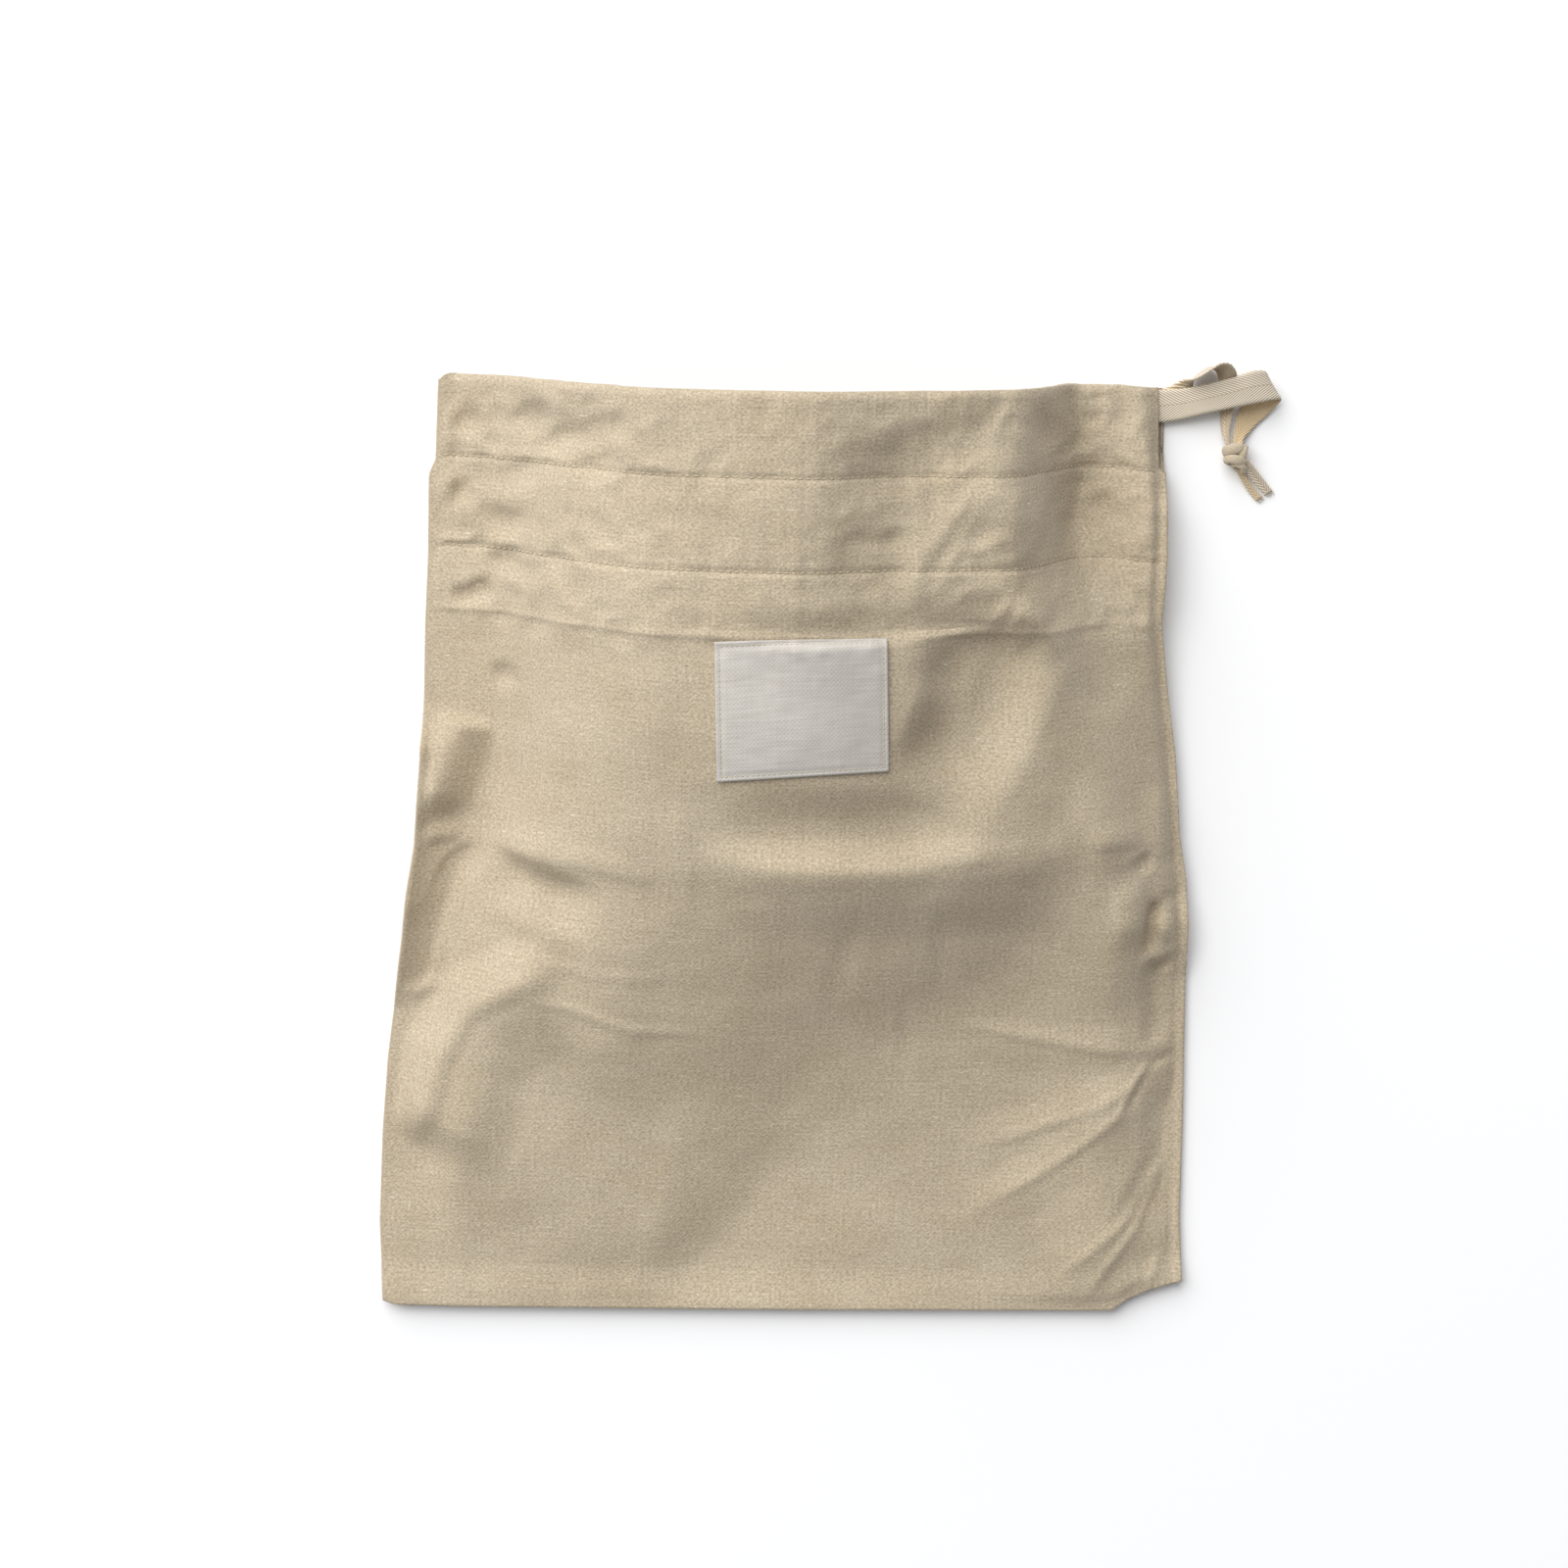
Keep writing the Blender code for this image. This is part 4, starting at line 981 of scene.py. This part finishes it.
# %% The curled edges
# y along the edge, how high the edge itself stands off the surface there
LEFT_CURL = ((-64.0, 0.0), (-45.0, 7.0), (-22.0, 11.0), (-3.0, 9.0), (6.0, 9.0), (14.0, 11.0),
             (38.0, 11.0), (47.0, 3.0), (54.0, 0.0))
RIGHT_CURL = ((-181.0, 1.5), (-110.0, 0.8), (-52.0, 1.5), (-38.0, 7.0), (-28.0, 8.0), (-18.0, 5.0),
              (40.0, 4.5), (84.0, 9.0), (100.0, 13.0), (130.0, 12.5), (147.0, 2.0), (152.0, 0.0))
BOTTOM_CURL = 3.0
LEFT_REACH = 18.0
RIGHT_REACH = 32.0
BOTTOM_REACH = 18.0
CURL_POWER = 1.7


def edge_curl(x, y):
    """How far both panels curl up off the surface near the closed edges."""
    curl = np.zeros_like(x)
    sides = ((LEFT_CURL, x - side_x(y, 1), LEFT_REACH),
             (RIGHT_CURL, side_x(y, 2) - x, RIGHT_REACH))
    for table, inset, reach in sides:
        rise = np.interp(y, column(table, 0), column(table, 1))
        curl = curl + rise * np.clip(1.0 - inset / reach, 0.0, 1.0) ** CURL_POWER
    bottom = BOTTOM_CURL * smooth(1.0 - (y - end_y(x, 1)) / BOTTOM_REACH)
    return np.maximum(curl, bottom)


def laid_front(x, y):
    """The front panel at flat place x, y: the higher it stands, the more it draws back."""
    height = front_height(x, y) + edge_curl(x, y)
    seam = SEAM_DEPTH * bell(side_x(y, 2) - x - SEAM_INSET, SEAM_WIDTH)
    seam = seam * smooth((SLIT_FOOT_Y - y) / SEAM_FADE)
    return np.stack([x, y - DRAW_BACK * height, FRONT_LEVEL + height - seam], axis=-1)


highest = [max(rise for _, rise in table) for table in (LEFT_CURL, RIGHT_CURL)]
print("the side edges curl up by, mm:", highest)

# %% [markdown]
# The two panels are one piece of cloth, so they are one mesh. It is built ring by ring
# from the bottom to the mouth: across the front, round the right edge, back under, and
# round the left edge. The front has five columns for each one of the back, because only
# the front shows its creases. Rows are closer together at the stitches and at the
# pressed fold. At the mouth the rings roll over and run down inside as the hem.

# %% The bag's rings
BACK_COLUMNS = 44
FRONT_PER_BACK = 5
FRONT_COLUMNS = BACK_COLUMNS * FRONT_PER_BACK
EDGE_STEPS = 7
BOTTOM_TURNS = (28.0, 56.0, 80.0)
ROW_STEP = 1.75
FINE_STEP = 0.85
FINE_REACH = 4.5
# Where the rows are closer together, each a distance from the mouth.
FINE_LINES = STITCH_ROWS + (HEM_DEPTH, 182.0, 1.0)
# The slit: how its edges turn under, and over what height it opens.
SLIT_TURNS = (40.0, 110.0, 170.0)
SLIT_FOLD = 0.42
SLIT_INSET = 0.8
SLIT_OPENS_BELOW = 3.0
SLIT_OPENS_OVER = 5.0


def row_shares():
    """Where the rings lie, as shares of the way from the bottom to the mouth."""
    length = MOUTH_Y - BOTTOM_Y
    place = 0.0
    shares = []
    while place < length:
        shares.append(place / length)
        from_mouth = length - place
        near = min(abs(from_mouth - line) for line in FINE_LINES)
        place += FINE_STEP if near < FINE_REACH else ROW_STEP
    return shares + [1.0]


def edge_arc(first, last, sign, centre_x, radius):
    """The points round a closed edge, from the front's last point to the back's first."""
    part = np.arange(1, EDGE_STEPS) / EDGE_STEPS
    angle = math.pi / 2 - math.pi * part
    x = centre_x + sign * radius * np.cos(angle)
    y = first[1] + (last[1] - first[1]) * part
    z = first[2] + (last[2] - first[2]) * (1 - np.sin(angle)) / 2
    return np.stack([x, y, z], axis=1)


def slit_arc(first, last):
    """At the slit the edge is open: half its points turn under each panel's own edge."""
    angle = np.radians(SLIT_TURNS)
    out = SLIT_FOLD * np.sin(angle) - np.array([0.0, 0.0, SLIT_INSET])
    drop = SLIT_FOLD * (1 - np.cos(angle))
    level = np.zeros_like(angle)
    under = np.stack([first[0] + out, first[1] + level, first[2] - drop], axis=1)
    over = np.stack([last[0] + out, last[1] + level, last[2] + drop], axis=1)
    return np.concatenate([under, over[::-1]])


def bag_ring(share, turn):
    """One ring of the bag, front then back. turn is how far the bottom edge has rolled."""
    y_middle = BOTTOM_Y + (MOUTH_Y - BOTTOM_Y) * share
    left = float(side_x(y_middle, 1))
    right = float(side_x(y_middle, 2))
    radius = EDGE_RADIUS * math.cos(turn)
    opened = float(smooth((y_middle - SLIT_FOOT_Y + SLIT_OPENS_BELOW) / SLIT_OPENS_OVER))
    front_right = (right - EDGE_RADIUS) * (1 - opened) + SLIT_FRONT_X * opened
    x = np.linspace(left + EDGE_RADIUS, front_right, FRONT_COLUMNS + 1)
    rolled = EDGE_RADIUS * (1.0 - math.sin(turn))
    bottom = end_y(x, 1) + rolled
    front = laid_front(x, bottom + (end_y(x, 2) - bottom) * share)
    front[:, 2] += radius - EDGE_RADIUS
    back_x = np.linspace(right - EDGE_RADIUS, left + EDGE_RADIUS, BACK_COLUMNS + 1)
    back_bottom = end_y(back_x, 1) + rolled
    dip = BACK_MOUTH_DIP * bulge_height(back_x, np.full_like(back_x, MOUTH_Y)) / CROWN
    curl = edge_curl(back_x, back_bottom + (end_y(back_x, 2) - back_bottom) * share)
    back_y = back_bottom + (end_y(back_x, 2) - dip - back_bottom) * share - DRAW_BACK * curl
    back = np.stack([back_x, back_y, BACK_LEVEL + EDGE_RADIUS - radius + curl], axis=1)
    left_edge = edge_arc(front[0], back[-1], -1.0, left + EDGE_RADIUS, radius)
    if y_middle > SLIT_FOOT_Y:
        right_edge = slit_arc(front[-1], back[0])
    else:
        right_edge = edge_arc(front[-1], back[0], 1.0, right - EDGE_RADIUS, radius)
    return np.concatenate([front, right_edge, back, left_edge[::-1]])


shares = row_shares()
rings = [bag_ring(0.0, math.radians(turn)) for turn in reversed(BOTTOM_TURNS)]
rings += [bag_ring(share, 0.0) for share in shares]
outer = np.array(rings)
print("rings:", outer.shape[0], "of", outer.shape[1], "points")

# %% The hem inside and the mesh of the bag
HEM_ROWS_INSIDE = 24
ROLL_TURNS = (35.0, 75.0, 110.0, 145.0)
HEM_GAP = 0.7
MOUTH_ROLL = 2.2
# The roll is full where the mouth stands this high, and settles over this way down.
ROLL_FULL_HEIGHT = 10.0
ROLL_SETTLES = 6.0
INNER_ROW_POWER = 1.3
# The share of a rise that shows as width on the flat cloth, and where in the noise the
# inner side of the cloth reads its pattern.
RISE_SHARE = 0.8
INNER_PLACE = 40.0


def hem_inside(outer):
    """Rings that roll over the mouth and run down inside, and how far each has run."""
    closed = np.concatenate([outer[:, -1:], outer, outer[:, :1]], axis=1)
    normal = normals_of(closed)[:, 1:-1]
    up = outer[-1] - outer[-2]
    up = up / np.linalg.norm(up, axis=1, keepdims=True)
    high = smooth((outer[-1, :, 2] - FRONT_LEVEL) / ROLL_FULL_HEIGHT)
    gap = HEM_GAP + (MOUTH_ROLL - HEM_GAP) * high
    made = []
    for turn in np.radians(ROLL_TURNS):
        rise = up * math.sin(turn) * gap[:, None] / 2
        made.append(outer[-1] + rise - normal[-1] * (1 - math.cos(turn)) * gap[:, None] / 2)
    level = len(outer) - 1
    length = MOUTH_Y - BOTTOM_Y
    for step in range(HEM_ROWS_INSIDE):
        down = HEM_DEPTH * (step / (HEM_ROWS_INSIDE - 1)) ** INNER_ROW_POWER
        place = len(BOTTOM_TURNS) + np.interp(1 - down / length, shares, np.arange(len(shares)))
        low = min(int(place), level - 1)
        part = place - low
        ring = outer[low] * (1 - part) + outer[low + 1] * part
        inward = normal[low] * (1 - part) + normal[low + 1] * part
        depth = HEM_GAP + (gap - HEM_GAP) * math.exp(-down / ROLL_SETTLES)
        made.append(ring - inward * depth[:, None])
    return np.array(made)


def bag_faces(levels, size):
    """The faces between the rings, open at the slit, and those that close the bottom."""
    back_start = FRONT_COLUMNS + EDGE_STEPS
    slit_column = FRONT_COLUMNS + EDGE_STEPS // 2
    slit_share = (SLIT_FOOT_Y - BOTTOM_Y) / (MOUTH_Y - BOTTOM_Y)
    slit_level = len(BOTTOM_TURNS) + int(np.searchsorted(shares, slit_share))
    faces = []
    for level in range(levels - 1):
        for index in range(size):
            if level >= slit_level - 1 and index == slit_column:
                continue
            here = level * size + index
            beside = level * size + (index + 1) % size
            faces.append((here, beside, beside + size, here + size))
    for pair in range(BACK_COLUMNS):
        near = back_start + BACK_COLUMNS - pair
        front = range(pair * FRONT_PER_BACK, (pair + 1) * FRONT_PER_BACK + 1)
        faces.append((near, near - 1) + tuple(reversed(front)))
    faces.append(tuple(reversed(range(FRONT_COLUMNS, back_start + 1))))
    faces.append(tuple(reversed(range(back_start + BACK_COLUMNS, size))) + (0,))
    return faces


def flat_places(grid):
    """Across and along on the flat cloth, from the smooth bulge's own arc lengths."""
    levels, size = grid.shape[:2]
    x = grid[:, :, 0]
    y = grid[:, :, 1]
    steps = np.hypot(np.diff(x, axis=1), RISE_SHARE * np.diff(grid[:, :, 2], axis=1))
    across = np.concatenate([np.zeros((levels, 1)), np.cumsum(steps, axis=1)], axis=1)
    across = across - across[:, FRONT_COLUMNS // 2][:, None]
    along = y + DRAW_BACK * (grid[:, :, 2] - FRONT_LEVEL)
    return np.stack([across, along, np.zeros_like(along)], axis=2)


inner = hem_inside(outer)
everything = np.concatenate([outer, inner])
outer_flat = flat_places(outer)
inner_flat = flat_places(inner)
inner_flat[:, :, 2] = INNER_PLACE
bag_points = everything.reshape(-1, 3)
bag_flat = np.concatenate([outer_flat, inner_flat]).reshape(-1, 3)
bag_cloth = make_piece("bag_cloth", bag_points, bag_faces(len(everything), everything.shape[1]),
                       cotton, bag_flat)
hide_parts("bag")

# %% [markdown]
# The rows of the hem are sewn by machine with cotton thread of the cloth's own shade,
# about one stitch every 3 mm. Each stitch is a small rounded bar that lies in its ditch,
# thinner at both ends, where it goes down into a needle hole; the dark there is painted shade on the
# stitch's ends.

# %% Stitches
STITCH_PITCH = 3.0
STITCH_LENGTH = 2.7
STITCH_THICK = 0.45
STITCH_RINGS = 5
STITCH_SIDES = 6
STITCH_END = 0.35
HEM_STITCHES_X = (-132.0, 143.0)
HEM_LINE_POINTS = 600
THREAD = "#CDBEA3"
NEEDLE_HOLE_PAINTED_SHADE = "#5E523E"


def thread_finish():
    """Sewing thread: mercerised cotton, a little smoother than the cloth."""
    made, tree, shader, flat = start_material("cotton sewing thread", {
        "Roughness": 0.6, "IOR": 1.5, "Specular IOR Level": 0.35, "Sheen Weight": 0.1})
    parts = add(tree, "SeparateXYZ", {0: flat})
    from_middle = add(tree, "Math", {0: parts.outputs["X"], 1: 0.5}, operation="SUBTRACT")
    at_end = add(tree, "Math", {0: from_middle.outputs[0]}, operation="ABSOLUTE").outputs[0]
    # Painted shade: the stitch's ends darken to the colour of a needle hole in shadow.
    hole_shade = add(tree, "MapRange", {0: at_end, 1: 0.24, 2: 0.42}).outputs[0]
    colour = add(tree, "Mix", {0: hole_shade, 6: linear(THREAD), 7: linear(NEEDLE_HOLE_PAINTED_SHADE)},
                 data_type="RGBA").outputs[2]
    tree.links.new(colour, shader.inputs["Base Color"])
    return made


thread = thread_finish()


def stitch_line(line, pitch, length, thick, lift):
    """Points, faces and shares along each stitch; lift raises their middles off the line."""
    steps = np.linalg.norm(np.diff(line, axis=0), axis=1)
    along = np.concatenate([[0.0], np.cumsum(steps)])
    points = []
    faces = []
    shares_along = []
    for k in range(int(along[-1] / pitch)):
        start = k * pitch + (pitch - length) / 2
        place = start + np.linspace(0.0, length, STITCH_RINGS)
        middle = np.stack([np.interp(place, along, line[:, axis]) for axis in range(3)], axis=1)
        ahead = Vector(middle[-1] - middle[0]).normalized()
        aside = ahead.cross(Vector((0.0, 0.0, 1.0))).normalized()
        up = aside.cross(ahead).normalized()
        faces += bar_faces(len(points), STITCH_RINGS, STITCH_SIDES)
        for i in range(STITCH_RINGS):
            share = i / (STITCH_RINGS - 1)
            fat = thick / 2 * (STITCH_END + (1.0 - STITCH_END) * math.sin(math.pi * share))
            rise = lift + thick * 0.5 * math.sin(math.pi * share)
            for j in range(STITCH_SIDES):
                around = 2 * math.pi * j / STITCH_SIDES
                spread = aside * math.cos(around) * fat + up * (math.sin(around) * fat + rise)
                points.append(Vector(middle[i]) + spread)
                shares_along.append((share, 0.0, 0.0))
    return points, faces, shares_along


def sewn(name, lines, pitch, length, thick, lift):
    """One piece of stitches along several lines."""
    points = []
    faces = []
    flat = []
    for line in lines:
        more, their_faces, shares_along = stitch_line(line, pitch, length, thick, lift)
        faces += [tuple(len(points) + index for index in face) for face in their_faces]
        points += more
        flat += shares_along
    return make_piece(name, points, faces, thread, np.array(flat))


hem_lines = []
for row in STITCH_ROWS:
    x = np.linspace(*HEM_STITCHES_X, HEM_LINE_POINTS)
    hem_lines.append(laid_front(x, hem_top(x) - row))
hem_stitches = sewn("hem_stitches", hem_lines, STITCH_PITCH, STITCH_LENGTH, STITCH_THICK, 0.0)

# %% [markdown]
# The label is a patch of fine off-white weave, sewn on all round, about two millimetres
# in from its edges. It lies on the bulge, follows its curve, and stands just clear of the
# cloth between the stitches, so its lower edge throws a small shadow.

# %% The label
LABEL_CORNERS = ((-25.0, 74.4), (38.3, 75.9), (39.0, 27.2), (-24.3, 23.3))
LABEL_THICK = 0.6
LABEL_LIFT = 0.65
LABEL_COLUMNS = 80
LABEL_ROWS = 64
LABEL_WIDTH = LABEL_CORNERS[1][0] - LABEL_CORNERS[0][0]
LABEL_DEPTH = LABEL_CORNERS[0][1] - LABEL_CORNERS[3][1]
# Its seam: how far in from the edge it runs, how far it pulls the label down, how wide.
LABEL_SEAM = 1.9
LABEL_PULL = 0.35
LABEL_PULL_WIDTH = 0.8
LABEL_THREAD_GAP = 0.8
# Painted shade in the label's weave gaps, as a share of its colour.
LABEL_PAINTED_GAP_SHADE = 0.9
LABEL_COLOUR = "#D3CEC6"
LABEL_SHADE = "#BDB6AC"
SETTLE_ROUNDS = 12


def woven_label():
    """Off-white plain weave, finer than the bag's, with soft uneven threads across."""
    made, tree, shader, flat = start_material("off-white woven label", {
        "Roughness": 0.8, "IOR": 1.5, "Specular IOR Level": 0.3,
        "Sheen Weight": 0.12, "Sheen Roughness": 0.5})
    threads = crossed_streaks(tree, flat, 14.0, 0.7, 0.3)
    weave = plain_weave(tree, flat, LABEL_THREAD_GAP)
    tone = add(tree, "MapRange", {0: threads, 1: 0.3, 2: 0.7}).outputs[0]
    body = add(tree, "Mix", {0: tone, 6: linear(LABEL_SHADE), 7: linear(LABEL_COLOUR)},
               data_type="RGBA").outputs[2]
    shaded = with_painted_gap_shade(tree, body, weave, LABEL_PAINTED_GAP_SHADE)
    height = add(tree, "Mix", {0: 0.5, 2: weave, 3: threads}, data_type="FLOAT").outputs[0]
    surface_of(tree, shader, shaded, height, 0.4, 0.25)
    return made


def surface_above(x, y):
    """The front panel's height over the place x, y as seen from above."""
    flat_y = y
    for _ in range(SETTLE_ROUNDS):
        flat_y = y + DRAW_BACK * front_height(x, flat_y)
    return FRONT_LEVEL + front_height(x, flat_y)


def label_grid():
    """The label's middle surface, pulled down to the cloth along its seam."""
    corners = [Vector(corner) for corner in LABEL_CORNERS]
    across = np.linspace(0.0, 1.0, LABEL_COLUMNS + 1)[None, :]
    down = np.linspace(0.0, 1.0, LABEL_ROWS + 1)[:, None]
    places = [np.array([corner[axis] for corner in corners]) for axis in (0, 1)]
    x, y = [(p[0] * (1 - across) + p[1] * across) * (1 - down)
            + (p[3] * (1 - across) + p[2] * across) * down for p in places]
    surface = surface_above(x, y)
    slope_y, slope_x = np.gradient(surface)
    slope_x = slope_x / np.gradient(x, axis=1)
    slope_y = slope_y / np.gradient(y, axis=0)
    steep = np.sqrt(1.0 + slope_x ** 2 + slope_y ** 2)
    inset = np.minimum(np.minimum(across, 1 - across) * LABEL_WIDTH,
                       np.minimum(down, 1 - down) * LABEL_DEPTH)
    pulled = LABEL_PULL * bell(inset - LABEL_SEAM, LABEL_PULL_WIDTH)
    return np.stack([x, y, surface + steep * (LABEL_LIFT + LABEL_THICK / 2 - pulled)], axis=2)


label_weave = woven_label()
label_middle = label_grid()
label_points, label_faces, label_flat = closed_sheet(label_middle[::-1], LABEL_THICK)
label_patch = make_piece("label_patch", label_points, label_faces, label_weave, label_flat)
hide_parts("label")

# %% The label's stitches
LABEL_STITCH_PITCH = 2.0
LABEL_STITCH_LENGTH = 1.4
LABEL_STITCH_THICK = 0.34
LABEL_STITCH_LIFT = LABEL_THICK / 2 - 0.04

seam_columns = round(LABEL_SEAM / LABEL_WIDTH * LABEL_COLUMNS)
seam_rows = round(LABEL_SEAM / LABEL_DEPTH * LABEL_ROWS)
inside = label_middle[seam_rows:-seam_rows, seam_columns:-seam_columns]
around_label = np.concatenate([inside[0], inside[:, -1], inside[-1, ::-1], inside[::-1, 0]])
label_stitches = sewn("label_stitches", [around_label], LABEL_STITCH_PITCH, LABEL_STITCH_LENGTH,
                      LABEL_STITCH_THICK, LABEL_STITCH_LIFT)

# %% [markdown]
# The studio: a white surface, and one large soft light up and to the left, as in a
# window-lit picture taken from above. It is near enough that the far corner gets a little
# less of it. The rest of the light comes evenly from all round and keeps the shadows
# soft and open.

# %% The surface and the light
SURFACE_WHITE = "#FBFBFB"
SURFACE_REACH = 3.0
ROOM_LIGHT = "#F4F6FA"
KEY_TOWARDS = Vector((-0.42, 0.62, 0.66)).normalized()
KEY_DISTANCE = 6.0
KEY_POWER = 610.0
KEY_SIZE = 7.5
FILL_STRENGTH = 0.36

floor_mesh = bpy.data.meshes.new("surface")
signs = ((-1, -1), (1, -1), (1, 1), (-1, 1))
corners = [(x * SURFACE_REACH, y * SURFACE_REACH, 0.0) for x, y in signs]
floor_mesh.from_pydata(corners, [], [(0, 1, 2, 3)])
floor = bpy.data.objects.new("surface", floor_mesh)
bpy.context.scene.collection.objects.link(floor)
floor_finish = start_material("white paper ground", {
    "Base Color": linear(SURFACE_WHITE), "Roughness": 0.9, "Specular IOR Level": 0.1})
floor_mesh.materials.append(floor_finish[0])

key_data = bpy.data.lights.new("key", "AREA")
key_data.energy = KEY_POWER
key_data.size = KEY_SIZE
key = bpy.data.objects.new("key", key_data)
key.location = KEY_TOWARDS * KEY_DISTANCE
key.rotation_mode = "QUATERNION"
key.rotation_quaternion = KEY_TOWARDS.to_track_quat("Z", "Y")
bpy.context.scene.collection.objects.link(key)

world = bpy.data.worlds.new("soft room light")
world.use_nodes = True
background = world.node_tree.nodes["Background"]
background.inputs["Color"].default_value = linear(ROOM_LIGHT)
background.inputs["Strength"].default_value = FILL_STRENGTH
bpy.context.scene.world = world
print("key light from the upper left, fill", FILL_STRENGTH)
